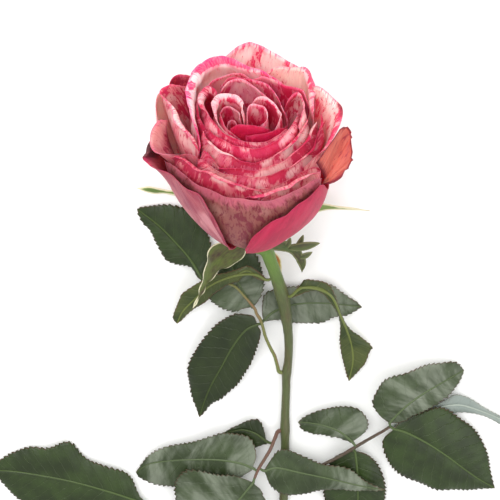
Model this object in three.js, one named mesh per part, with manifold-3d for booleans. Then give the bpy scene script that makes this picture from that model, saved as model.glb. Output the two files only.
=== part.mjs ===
// A cut garden rose lying on its back on a flat surface, all sizes in millimetres, +Z up.
// The bloom end points to +Y and the cut end of the stem to -Y.  z = 0 is the surface
// that the flower lies on.
import * as THREE from 'three';
import { mergeVertices } from 'three/addons/utils/BufferGeometryUtils.js';
import Module from 'manifold-3d';

// ---------------------------------------------------------------- driving dimensions
const PETAL_THICKNESS = 0.6;      // petal blade
const LEAF_THICKNESS = 0.6;       // leaf blade
const SEPAL_THICKNESS = 0.7;
const CUP_LENGTH = 11;           // how quickly the cup of the bloom opens above its base, at the back
const CUP_FRONT = 2.2;           // how much more quickly it opens in front
const CUP_SIDES = 6.5;           // how much more slowly it opens at its sides
const CUP_WIDEN = 0.0025;         // widening of the cup per millimetre of height
const CUP_REF = 40;               // height at which a petal has its stated radius
const CUP_STEP = 0.2;             // inner petals stand this much higher per millimetre of radius
const CUP_TOP = 60;                // height at which the cup has its full width
const CUP_RADIUS = 38;            // radius of the outermost petals
const OUTER_ROWS = [3.6, 6.2, 9.6, 14, 20, 29, 42];   // heights of the outer petals' rows
const INNER_ROWS = [8.0, 14, 25, 41];                      // heights of the inner petals' rows
const INNER_RADIUS = 24.5;        // a petal that stays inside this radius is an inner one
const FLARE = { petal_right_3: 1.05, petal_left_5: 1.25 };   // how evenly a petal flares out, 2 where it isn't listed
const CUT_SLANT = 2.6;            // how far the cut at the stem's end is slanted
const PRICKLES = [[0.60, 100, 3.6], [0.655, 165, 3.2], [0.72, 40, 3.8], [0.80, 155, 3.4], [0.87, 25, 3.6], [0.93, 120, 3.2]];

// ---------------------------------------------------------------- shape tables
// BLOOM: base point of the bloom and its three axes.
// PETALS: for each point along a petal, its wall's place in plan at the reference
// height (right, front) and the rim's place (right, front, height above the base).
// SEPALS, LEAVES: left edge, midrib and right edge from base to tip.
// RACHISES, STEM: centre line with radius.
const BLOOM = {
  "base": [-1.69,153.11,22.86],
  "right": [0.99993,0.01112,0.0045],
  "front": [0.0,-0.37534,0.92689],
  "axis": [-0.012,0.92682,0.37531],
};
const PETALS = {
  "petal_heart_right_inner": [[-0.4,4.2,-0.43,4.48,66.5,50.5],[-0.6,1.6,-0.64,1.72,69.2,53.2],[0.6,-1.2,0.65,-1.29,69.8,53.8],[3.1,-2.3,3.33,-2.47,69.4,53.4],[5.7,-1.6,6.12,-1.72,68.8,52.8],[7.1,0.6,7.6,0.64,67.8,51.8],[7.2,3.0,7.69,3.2,66.8,50.8],[6.0,4.9,6.38,5.21,65.6,49.6],[4.2,4.6,4.45,4.88,64.2,48.2],[3.6,2.9,3.81,3.07,64.0,48.0]],
  "petal_heart_right_outer": [[0.7,-2.6,0.75,-2.79,69.2,53.2],[1.6,-3.9,1.72,-4.2,69.9,53.9],[3.1,-4.9,3.34,-5.28,70.6,54.6],[5.5,-5.2,5.93,-5.61,70.8,54.8],[7.9,-4.1,8.52,-4.42,70.5,54.5],[10.2,-1.8,10.99,-1.94,69.8,53.8],[11.9,1.0,12.77,1.07,68.3,52.3],[12.5,3.0,13.44,3.23,68.8,52.8],[12.1,4.9,13.0,5.26,68.6,52.6],[11.1,6.4,11.85,6.83,66.5,50.5],[9.6,7.3,10.17,7.73,64.0,48.0]],
  "petal_heart_left_inner": [[-8.0,3.4,-8.37,3.56,60.0,44.0],[-8.6,1.6,-9.02,1.68,61.0,45.0],[-8.0,-0.2,-8.42,-0.21,62.0,46.0],[-6.3,-0.9,-6.64,-0.95,62.4,46.4],[-4.9,0.2,-5.16,0.21,62.2,46.2],[-4.5,2.0,-4.73,2.1,61.6,45.6],[-5.3,3.4,-5.56,3.57,61.0,45.0]],
  "petal_heart_left_middle": [[-3.3,3.5,-3.55,3.76,69.7,53.7],[-3.2,1.3,-3.42,1.39,67.4,51.4],[-3.8,-1.9,-4.04,-2.02,65.4,49.4],[-5.7,-4.1,-6.07,-4.36,65.8,49.8],[-7.9,-4.7,-8.42,-5.01,66.2,50.2],[-9.9,-3.6,-10.55,-3.84,66.2,50.2],[-11.1,-0.4,-11.84,-0.43,66.3,50.3],[-10.7,2.8,-11.45,3.0,67.5,51.5],[-9.1,5.7,-9.66,6.05,64.9,48.9],[-6.5,7.6,-6.87,8.03,63.0,47.0],[-3.4,8.2,-3.58,8.63,61.6,45.6]],
  "petal_heart_left_outer": [[-2.4,4.6,-2.6,4.99,73.5,57.5],[-1.9,2.2,-2.06,2.38,73.1,57.1],[-1.9,-1.3,-2.04,-1.4,69.9,53.9],[-3.2,-4.5,-3.44,-4.83,69.1,53.1],[-5.6,-6.1,-6.02,-6.56,69.7,53.7],[-8.2,-6.3,-8.84,-6.79,70.1,54.1],[-10.8,-5.3,-11.65,-5.72,70.3,54.3],[-12.8,-2.7,-13.83,-2.92,70.3,54.3],[-13.5,0.3,-14.6,0.32,70.5,54.5],[-12.9,3.2,-13.82,3.43,67.6,51.6],[-11.4,6.4,-12.17,6.83,66.6,50.6],[-9.2,9.0,-9.78,9.57,65.2,49.2],[-6.1,10.4,-6.46,11.01,63.5,47.5],[-2.6,10.6,-2.74,11.17,61.9,45.9]],
  "petal_heart_front_inner": [[-7.4,4.9,-7.85,5.2,64.5,48.5],[-6.2,5.9,-6.6,6.28,65.6,49.6],[-4.4,6.4,-4.69,6.82,66.3,50.3],[-1.6,6.8,-1.71,7.25,66.6,50.6],[1.4,7.0,1.49,7.46,66.2,50.2],[4.4,7.2,4.68,7.66,65.7,49.7],[7.0,6.9,7.44,7.34,65.3,49.3],[8.5,5.7,9.02,6.05,64.7,48.7]],
  "petal_heart_front": [[-1.2,8.7,-1.27,9.22,64.0,48.0],[2.0,9.0,2.12,9.52,63.4,47.4],[5.3,9.2,5.61,9.74,63.6,47.6],[8.4,9.2,8.91,9.76,64.6,48.6],[11.1,8.5,11.81,9.05,65.5,49.5],[13.4,7.2,14.28,7.67,65.8,49.8],[14.7,5.2,15.69,5.55,66.2,50.2]],
  "petal_ring_front_1": [[-12.0,-9.9,-12.93,-10.67,69.6,53.6],[-13.8,-10.9,-14.9,-11.77,69.9,53.9],[-16.0,-10.7,-17.31,-11.57,69.9,53.9],[-17.7,-8.3,-19.15,-8.98,69.5,53.5],[-18.2,-4.9,-19.66,-5.29,69.0,53.0],[-17.4,-1.0,-18.74,-1.08,68.4,52.4],[-16.2,3.3,-17.52,3.57,70.0,54.0],[-14.4,6.9,-15.54,7.44,69.7,53.7],[-12.4,9.3,-13.32,9.99,68.5,52.5],[-9.9,11.1,-10.56,11.84,66.4,50.4],[-6.2,12.7,-6.58,13.49,64.8,48.8],[-2.0,13.4,-2.12,14.18,63.5,47.5],[2.2,13.6,2.33,14.38,63.0,47.0],[6.0,13.2,6.34,13.95,63.0,47.0],[9.5,12.2,10.07,12.93,64.0,48.0],[12.6,10.7,13.4,11.38,65.2,49.2],[15.0,8.4,16.0,8.96,66.0,50.0],[16.0,6.4,16.96,6.78,64.0,48.0]],
  "petal_ring_back_1": [[-10.4,-8.9,-11.3,-9.67,72.9,56.9],[-9.5,-10.9,-10.31,-11.83,72.4,56.4],[-7.4,-12.9,-8.02,-13.98,72.3,56.3],[-4.4,-13.6,-4.77,-14.74,72.4,56.4],[-1.3,-13.0,-1.41,-14.08,72.2,56.2],[1.8,-11.0,1.95,-11.89,71.7,55.7],[4.4,-8.4,4.75,-9.07,71.1,55.1],[7.2,-6.2,7.75,-6.68,69.9,53.9],[9.9,-4.6,10.67,-4.96,69.9,53.9]],
  "petal_ring_back_2": [[-10.8,-13.8,-11.66,-14.9,70.3,54.3],[-8.2,-15.1,-8.88,-16.35,71.6,55.6],[-5.5,-15.6,-5.96,-16.89,72.0,56.0],[-2.5,-15.3,-2.71,-16.56,72.1,56.1],[1.0,-13.7,1.08,-14.84,72.3,56.3],[4.1,-11.8,4.45,-12.81,73.1,57.1],[6.7,-10.7,7.27,-11.61,72.7,56.7],[9.1,-8.8,9.85,-9.53,71.6,55.6],[11.2,-5.4,12.1,-5.83,70.5,54.5],[12.9,-1.4,13.88,-1.51,68.9,52.9],[14.2,2.0,15.34,2.16,70.0,54.0]],
  "petal_ring_back_3": [[-16.3,-12.8,-17.71,-13.91,71.4,55.4],[-13.3,-15.3,-14.4,-16.57,70.8,54.8],[-9.8,-17.0,-10.6,-18.39,71.1,55.1],[-6.3,-17.7,-6.82,-19.17,71.9,55.9],[-2.5,-17.6,-2.71,-19.05,72.0,56.0],[1.0,-16.8,1.08,-18.16,71.5,55.5]],
  "petal_ring_back_4": [[1.9,-15.4,2.06,-16.69,72.5,56.5],[5.6,-14.0,6.09,-15.22,73.6,57.6],[8.7,-12.6,9.47,-13.71,73.5,57.5],[11.7,-11.3,12.73,-12.3,73.1,57.1],[14.4,-10.4,15.66,-11.31,72.2,56.2],[17.5,-9.6,19.07,-10.46,71.7,55.7],[20.8,-8.0,22.65,-8.71,71.0,55.0],[22.6,-4.6,24.55,-5.0,70.0,54.0]],
  "petal_ring_right": [[14.8,-3.9,16.1,-4.24,72.2,56.2],[17.2,-5.8,18.76,-6.33,72.2,56.2],[19.5,-5.9,21.27,-6.44,71.5,55.5],[21.1,-3.5,22.86,-3.79,69.3,53.3],[21.6,0.1,23.45,0.11,69.8,53.8],[20.9,4.3,22.81,4.69,71.5,55.5],[19.3,7.9,20.84,8.53,68.8,52.8]],
  "petal_ring_front_2": [[-19.9,-8.4,-21.43,-9.05,67.9,51.9],[-19.8,-3.1,-21.28,-3.33,67.3,51.3],[-19.1,1.2,-20.37,1.28,65.4,49.4],[-17.0,5.3,-18.0,5.61,63.7,47.7],[-15.3,8.8,-16.29,9.37,65.3,49.3],[-13.5,11.8,-14.4,12.59,66.1,50.1],[-10.7,13.8,-11.38,14.68,65.3,49.3],[-7.4,15.2,-7.85,16.12,64.3,48.3],[-4.0,16.0,-4.23,16.92,63.0,47.0],[-0.6,16.2,-0.63,17.1,62.3,46.3],[2.9,16.0,3.06,16.88,62.1,46.1],[6.4,15.5,6.76,16.37,62.7,46.7],[9.9,14.5,10.49,15.37,63.9,47.9],[13.0,12.9,13.83,13.72,65.1,49.1],[15.9,10.7,17.05,11.47,67.4,51.4],[17.9,7.3,19.37,7.9,69.7,53.7],[19.0,3.2,20.53,3.46,68.9,52.9],[18.9,-1.6,20.18,-1.71,65.8,49.8]],
  "petal_front_3": [[-17.9,7.8,-19.16,8.35,66.5,50.5],[-17.3,11.0,-18.31,11.64,63.4,47.4],[-15.2,14.6,-16.11,15.47,63.8,47.8],[-11.9,17.0,-12.56,17.94,62.4,46.4],[-8.3,18.7,-8.73,19.68,61.2,45.2],[-5.0,19.5,-5.23,20.41,59.1,43.1],[-1.5,20.0,-1.56,20.85,57.5,41.5],[1.9,19.9,1.98,20.71,56.9,40.9],[5.5,19.3,5.73,20.12,57.6,41.6],[9.0,18.1,9.4,18.9,58.6,42.6],[12.5,16.4,13.09,17.17,59.8,43.8],[16.0,14.2,16.8,14.91,61.0,45.0],[19.0,11.4,20.04,12.03,62.4,46.4],[21.5,8.2,22.94,8.75,65.3,49.3],[22.8,5.1,24.48,5.48,66.8,50.8],[23.3,0.9,24.77,0.96,64.2,48.2]],
  "petal_front_4": [[-18.7,14.8,-19.6,15.51,60.4,44.4],[-17.2,17.0,-18.13,17.92,62.0,46.0],[-15.4,18.6,-16.12,19.47,59.7,43.7],[-13.2,19.9,-13.65,20.58,55.6,39.6],[-10.5,21.0,-10.86,21.71,55.1,39.1],[-6.7,22.1,-6.96,22.96,56.4,40.4],[-2.4,22.7,-2.5,23.61,56.5,40.5],[1.9,22.7,1.97,23.58,56.0,40.0],[6.2,22.0,6.44,22.85,56.2,40.2],[10.5,20.5,10.91,21.3,56.7,40.7],[14.5,18.5,15.07,19.23,57.4,41.4],[18.4,15.8,19.16,16.45,58.5,42.5],[21.9,12.4,22.91,12.97,60.0,44.0],[24.6,8.8,25.89,9.26,61.6,45.6],[26.0,6.0,27.8,6.42,65.5,49.5],[26.7,3.0,28.67,3.22,66.5,50.5]],
  "petal_front_5": [[-20.0,18.0,-20.95,18.86,60.0,44.0],[-16.7,21.1,-17.48,22.08,59.4,43.4],[-13.7,22.8,-14.24,23.7,57.0,41.0],[-9.8,24.3,-10.16,25.2,55.8,39.8],[-5.1,25.4,-5.29,26.36,55.8,39.8],[-0.5,25.7,-0.52,26.64,55.2,39.2],[4.2,25.4,4.35,26.29,54.7,38.7],[8.9,24.2,9.2,25.01,54.6,38.6],[13.3,22.4,13.74,23.14,55.0,39.0],[17.6,19.8,18.15,20.42,55.2,39.2],[21.4,16.7,22.09,17.23,56.1,40.1],[24.8,13.0,25.62,13.43,56.8,40.8],[27.2,9.5,28.18,9.84,57.7,41.7],[28.6,6.2,30.64,6.64,65.8,49.8],[28.7,3.0,30.6,3.2,64.5,48.5],[28.0,0.4,30.25,0.43,68.0,52.0]],
  "petal_front_6": [[-1.0,28.7,-1.02,29.33,50.0,34.0],[4.0,28.4,4.09,29.04,50.4,34.4],[9.2,27.3,9.41,27.92,50.8,34.8],[13.2,25.9,13.52,26.54,52.0,36.0],[17.6,23.7,18.03,24.27,52.7,36.7],[22.0,21.0,22.52,21.5,53.4,37.4],[26.0,18.8,26.58,19.22,53.6,37.6],[29.2,17.5,29.81,17.86,53.4,37.4]],
  "petal_left_1": [[12.7,-12.6,13.83,-13.72,72.9,56.9],[9.2,-14.7,10.0,-15.97,72.9,56.9],[5.6,-17.0,6.08,-18.46,73.1,57.1],[1.1,-19.5,1.19,-21.18,73.4,57.4],[-2.8,-22.1,-3.04,-24.0,73.2,57.2],[-6.7,-24.5,-7.28,-26.63,73.3,57.3],[-10.5,-25.1,-11.42,-27.29,73.2,57.2],[-14.8,-23.8,-16.09,-25.88,72.7,56.7],[-18.3,-20.5,-19.9,-22.3,72.1,56.1],[-20.6,-16.4,-22.38,-17.82,71.1,55.1],[-21.9,-10.5,-23.78,-11.4,70.2,54.2],[-22.4,-4.5,-24.23,-4.87,68.8,52.8],[-22.1,0.9,-23.84,0.97,68.0,52.0],[-21.0,5.9,-22.32,6.27,64.4,48.4],[-19.7,9.5,-20.84,10.05,63.2,47.2],[-18.9,12.3,-20.01,13.02,63.4,47.4]],
  "petal_left_2": [[-33.4,-17.6,-33.63,-18.51,67,51],[-32.4,-19.4,-32.64,-19.62,68.5,52.5],[-30.9,-20.9,-31.08,-20.54,69.5,53.5],[-28.6,-21.6,-28.99,-20.94,70,54],[-26.0,-21.8,-26.48,-20.65,70,54],[-23.8,-21.9,-24.4,-21.27,70,54],[-22.2,-22.6,-22.77,-23.18,70,54]],
  "petal_left_3": [[-24.6,-16.2,-25.59,-16.68,69,53],[-27.6,-14.6,-28.85,-14.67,69.5,53.5],[-30.0,-12.0,-33.32,-13.29,71,55],[-31.0,-9.0,-37.16,-9.68,70.5,54.5],[-31.0,-5.6,-33.87,-3.71,71,55],[-30.0,-1.6,-30.48,1.43,70,54],[-28.3,2.4,-28.8,5.7,68.3,52.3],[-26.7,5.8,-26.96,8.88,66.2,50.2],[-23.8,9.2,-23.74,11.49,63.3,47.3],[-20.8,12.4,-20.49,14.84,60.8,44.8]],
  "petal_left_4": [[-33.6,-13.2,-36.51,-15.88,66,50],[-34.6,-9.5,-37.95,-12.13,66.5,50.5],[-35.2,-6.5,-38.33,-8.34,66.5,50.5],[-35.6,-3.5,-38.37,-3.89,66,50],[-35.8,-0.5,-37.96,-0.6,64.5,48.5]],
  "petal_left_5": [[-33.6,-2.5,-33.47,1.68,67,51],[-33.5,-0.5,-36.24,0.92,65,49],[-33.2,2.0,-38.75,2.34,63,47],[-32.4,5.0,-40.39,5.32,61,45],[-31.2,8.0,-40.49,10.4,59.5,43.5],[-29.6,10.6,-37.3,14.76,59,43],[-27.6,12.4,-30.73,15.82,59,43],[-25.4,14.0,-26.83,16.2,59.3,43.3],[-23.4,15.3,-23.75,16.78,59.8,43.8],[-21.7,16.3,-20.67,17.65,60,44]],
  "petal_front_7": [[-30.2,15.6,-31.36,16.2,57.5,41.5],[-28.2,17.9,-29.52,18.74,59.5,43.5],[-25.2,20.6,-26.43,21.61,60.0,44.0],[-21.2,23.4,-22.14,24.44,58.6,42.6],[-16.9,26.1,-17.66,27.27,58.6,42.6],[-12.5,28.1,-13.06,29.36,58.3,42.3],[-8.2,29.6,-8.54,30.82,56.9,40.9],[-4.0,30.5,-4.15,31.64,55.4,39.4],[0.2,31.0,0.21,32.04,54.0,38.0],[4.5,30.9,4.63,31.78,52.3,36.3],[8.4,30.3,8.59,30.99,50.6,34.6]],
  "petal_front_8": [[-3.5,33.3,-3.59,34.2,51.7,35.7],[0.6,33.2,0.62,34.12,51.9,35.9],[4.9,32.9,5.04,33.84,52.3,36.3],[9.4,32.1,9.7,33.12,53.6,37.6],[13.8,30.4,14.25,31.38,54.1,38.1],[18.1,28.2,18.7,29.13,54.7,38.7],[22.1,25.8,22.82,26.65,55.1,39.1],[25.8,23.4,26.63,24.15,55.3,39.3],[28.4,21.7,29.39,22.46,56.2,40.2]],
  "petal_front_9": [[-33.8,13.6,-34.72,13.97,55.0,39.0],[-32.3,15.9,-33.21,16.35,55.1,39.1],[-29.6,19.3,-30.57,19.93,55.9,39.9],[-26.5,22.5,-27.31,23.19,55.0,39.0],[-23.3,25.5,-23.98,26.24,54.2,38.2],[-19.3,28.5,-19.87,29.34,53.7,37.7],[-15.0,31.2,-15.46,32.15,53.5,37.5],[-10.7,33.1,-11.02,34.1,53.1,37.1],[-6.4,34.5,-6.59,35.53,52.7,36.7],[-1.8,35.3,-1.85,36.33,52.4,36.4],[2.9,35.3,2.98,36.23,51.4,35.4],[7.6,34.7,7.79,35.55,50.9,34.9],[12.2,33.4,12.5,34.22,51.3,35.3],[16.6,31.7,17.04,32.55,52.4,36.4],[20.8,29.6,21.39,30.44,53.4,37.4],[25.0,26.9,25.79,27.75,54.7,38.7],[28.8,24.0,29.62,24.68,54.3,38.3]],
  "petal_right_1": [[6.4,-20.7,6.92,-22.39,71.5,55.5],[10.2,-19.6,11.09,-21.31,73.1,57.1],[14.1,-18.2,15.41,-19.9,74.4,58.4],[18.2,-16.9,20.0,-18.57,75.4,59.4],[21.2,-16.2,23.35,-17.85,75.7,59.7],[23.3,-15.0,25.41,-16.36,71.9,55.9],[24.1,-12.0,26.1,-12.99,69.3,53.3],[24.6,-7.5,26.5,-8.08,67.6,51.6],[24.9,-3.3,26.73,-3.54,66.5,50.5],[24.9,0.3,27.05,0.33,69.7,53.7]],
  "petal_right_2": [[26.4,-8.6,26.26,-12.47,72.5,56.5],[28.2,-6.2,28.25,-9.64,73,57],[29.5,-3.2,31.91,-7.28,72,56],[30.4,-0.4,35.14,-4.63,71,55],[30.9,2.2,38.13,-1.05,70,54],[31.0,4.8,38.87,1.85,69,53],[30.7,7.2,38.17,5.7,67.5,51.5],[30.1,9.6,36.45,9.56,65.5,49.5],[29.1,12.0,33.96,12.84,63,47],[27.7,14.2,30.66,15.79,60.5,44.5],[25.5,16.3,27.03,15.89,56.5,40.5],[22.6,18.4,22.91,18.11,54.7,38.7]],
  "petal_right_3": [[31.35,19.7,27.49,20.98,59.5,47],[31.3,19.9,30.56,18.24,63,47],[31.2,20.15,34.24,15.22,66.5,47],[31.1,20.4,37.41,9.97,68.3,47],[30.95,20.7,39.97,7.01,67,47],[30.8,21.0,42.53,6.17,63.5,47],[30.6,21.3,42.89,8.84,61.5,47],[30.4,21.6,43.63,12.79,59,47],[30.2,21.9,43.56,16.05,57,47],[29.95,22.2,41.68,18.73,54.5,47],[29.7,22.5,38.32,22.77,53,47],[29.4,22.8,33.39,24.62,52,47]],
  "petal_back_1": [[-17.0,-28.3,-18.05,-30.05,64.0,48.0],[-12.6,-30.5,-13.49,-32.65,67.1,51.1],[-8.6,-31.9,-9.24,-34.28,68.7,52.7],[-6.1,-32.5,-6.59,-35.1,70.8,54.8],[-2.8,-32.9,-3.04,-35.77,73.6,57.6],[1.1,-33.1,1.2,-36.09,74.8,58.8],[4.9,-32.6,5.32,-35.42,73.3,57.3],[8.8,-31.8,9.51,-34.38,71.1,55.1],[13.4,-30.2,14.41,-32.48,68.8,52.8],[19.3,-26.9,20.67,-28.81,66.8,50.8],[23.6,-23.1,25.2,-24.67,65.4,49.4],[27.0,-19.0,28.52,-20.07,62.0,46.0]],
  "petal_outer_front_left": [[-36.9,-10.5,-37.74,-9.11,52,36],[-37.8,-5.0,-38.69,-2.49,54,38],[-38.0,0.0,-40.13,2.95,55,39],[-37.6,5.0,-41.81,11.95,56.5,40.5],[-36.8,10.0,-44.01,16.9,58,42],[-35.6,14.0,-40.74,18.93,56.5,40.5],[-33.6,18.0,-36.31,19.83,54.5,38.5],[-30.8,21.8,-32.18,22.81,53.6,37.6],[-27.6,25.2,-28.04,26.39,53,37],[-24.2,28.3,-23.93,29.82,52,36],[-20.6,31.0,-20.06,33.29,50.5,34.5],[-17.3,32.9,-16.66,36.06,47.5,31.5],[-14.7,34.1,-14.45,33.53,40.1,24.1],[-12.6,35.2,-11.98,33.47,33.1,17.1],[-11.0,35.8,-8.7,28.3,17.4,1.4]],
  "petal_outer_front_right": [[32.9,1.0,30.34,0.92,40.0,24.0],[33.4,6.5,31.21,6.07,41.0,25.0],[34.0,12.0,32.27,11.39,42.0,26.0],[34.1,17.9,33.0,17.32,43.5,27.5],[32.8,23.3,32.27,22.92,45.0,29.0],[29.0,27.0,29.6,27.56,52.0,36.0],[24.8,29.9,25.06,30.21,48.8,32.8],[19.8,32.6,19.81,32.62,45.3,29.3],[15.2,34.9,15.07,34.6,42.0,26.0],[10.4,36.8,10.28,36.39,40.4,24.4],[5.3,37.8,5.16,36.79,36.0,20.0],[1.4,38.2,1.33,36.32,31.2,15.2],[-2.2,38.0,-1.95,33.74,23.0,7.0]],
  "petal_outer_back_right": [[33.95,-1.78,32.93,-1.73,46.0,30.0],[33.75,-8.02,33.76,-8.02,50.5,34.5],[32.38,-14.25,33.08,-14.56,54.0,38.0],[29.85,-20.23,30.86,-20.91,56.2,40.2],[26.21,-25.76,27.22,-26.75,57.0,41.0],[21.54,-30.62,22.39,-31.83,57.0,41.0],[15.96,-34.62,16.53,-35.85,55.5,39.5],[9.64,-37.6,9.88,-38.55,52.2,36.2],[2.76,-39.4,2.78,-39.71,47.0,31.0]],
  "petal_outer_back_left": [[-37.02,-13.48,-37.09,-13.51,50.0,34.0],[-34.42,-19.19,-35.16,-19.6,53.4,37.4],[-30.95,-24.43,-31.99,-25.25,55.8,39.8],[-26.68,-29.05,-27.74,-30.21,57.1,41.1],[-21.74,-32.93,-22.63,-34.28,57.3,41.3],[-16.23,-35.98,-16.84,-37.34,56.1,40.1],[-10.31,-38.11,-10.6,-39.18,53.0,37.0],[-4.13,-39.28,-4.16,-39.59,47.0,31.0]],
};
const SEPALS = {
  "sepal_front_left": {"L":[[-3.63,150.7,29.46],[-11.4,150.01,28.94],[-17.91,147.69,27.88],[-20.15,142.36,26.42],[-21.61,133.51,22.41],[-23.54,124.44,18.19],[-24.99,117.91,15.52],[-27.35,110.84,12.86]],"M":[[-1.91,150.0,29.46],[-6.22,147.13,29.89],[-11.85,144.15,29.51],[-16.24,138.76,27.93],[-19.86,130.6,23.42],[-22.66,122.34,18.9],[-24.99,116.61,15.88],[-27.35,110.84,12.86]],"R":[[0.25,150.23,29.46],[-3.2,146.81,29.12],[-4.07,144.4,28.98],[-7.11,139.83,28.22],[-11.47,137.44,27.07],[-15.89,133.45,24.45],[-20.4,126.14,19.84],[-22.71,120.59,17.16],[-27.35,110.84,12.86]]},
  "sepal_right": {"L":[[3.36,150.18,13.46],[13.49,153.27,9.39],[20.09,156.49,7.97],[27.57,158.65,6.87],[32.0,158.19,6.32],[36.44,157.04,5.81],[43.11,155.81,5.11],[51.13,154.08,4.36]],"M":[[3.8,148.28,13.46],[13.5,151.02,9.71],[21.43,154.18,8.13],[28.03,156.63,7.14],[33.34,156.92,6.45],[39.99,156.27,5.66],[45.78,155.29,5.0],[51.13,154.08,4.36]],"R":[[4.25,146.38,13.46],[13.52,147.68,9.7],[20.14,150.86,8.14],[24.99,152.91,7.35],[28.95,155.04,6.73],[33.37,155.53,6.17],[40.02,155.23,5.44],[46.68,154.72,4.77],[51.13,154.08,4.36]]},
  "sepal_left": {"L":[[-4.54,149.71,13.46],[-15.09,155.51,9.09],[-25.64,160.43,7.19],[-32.64,163.96,6.55],[-39.23,165.01,6.23],[-45.8,166.34,6.01],[-48.88,166.07,5.92],[-51.53,165.57,5.86]],"M":[[-4.98,147.81,13.46],[-15.1,153.29,9.45],[-25.65,158.67,7.53],[-32.65,162.89,6.83],[-39.23,163.92,6.47],[-44.94,164.76,6.2],[-48.45,165.17,6.03],[-51.53,165.57,5.86]],"R":[[-5.42,145.9,13.46],[-15.12,150.89,9.38],[-25.68,156.22,7.32],[-32.67,161.6,6.57],[-39.26,163.13,6.24],[-43.66,163.07,6.09],[-48.04,163.96,5.96],[-51.53,165.57,5.86]]},
  "sepal_lower_right": {"L":[[6.31,149.69,27.06],[11.1,148.59,25.55],[15.49,146.69,23.28],[19.52,142.89,19.86],[21.39,137.8,16.87],[22.82,132.87,14.33],[21.16,127.94,11.86]],"M":[[6.1,148.52,27.06],[10.24,146.38,25.89],[14.64,144.32,23.24],[17.78,141.1,20.13],[20.08,136.34,16.81],[21.52,131.79,14.05],[21.16,127.94,11.86]],"R":[[6.11,147.11,27.06],[8.08,144.52,25.95],[13.35,142.43,22.68],[16.04,140.07,19.93],[18.33,135.81,16.67],[20.22,130.53,13.37],[21.16,127.94,11.86]]},
  "sepal_under": {"L":[[5.14,141.39,14.06],[7.81,138.51,11.78],[10.96,134.57,9.31],[11.88,131.05,7.87],[12.16,126.51,6.36],[11.75,122.65,5.36]],"M":[[4.26,139.71,14.06],[6.94,136.54,11.66],[9.63,133.19,9.47],[10.78,129.58,7.83],[11.49,126.08,6.49],[11.75,122.65,5.36]],"R":[[3.38,138.52,14.06],[6.06,134.88,11.16],[8.31,131.53,8.99],[9.68,128.44,7.45],[10.83,124.93,6.09],[11.75,122.65,5.36]]},
};
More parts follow.
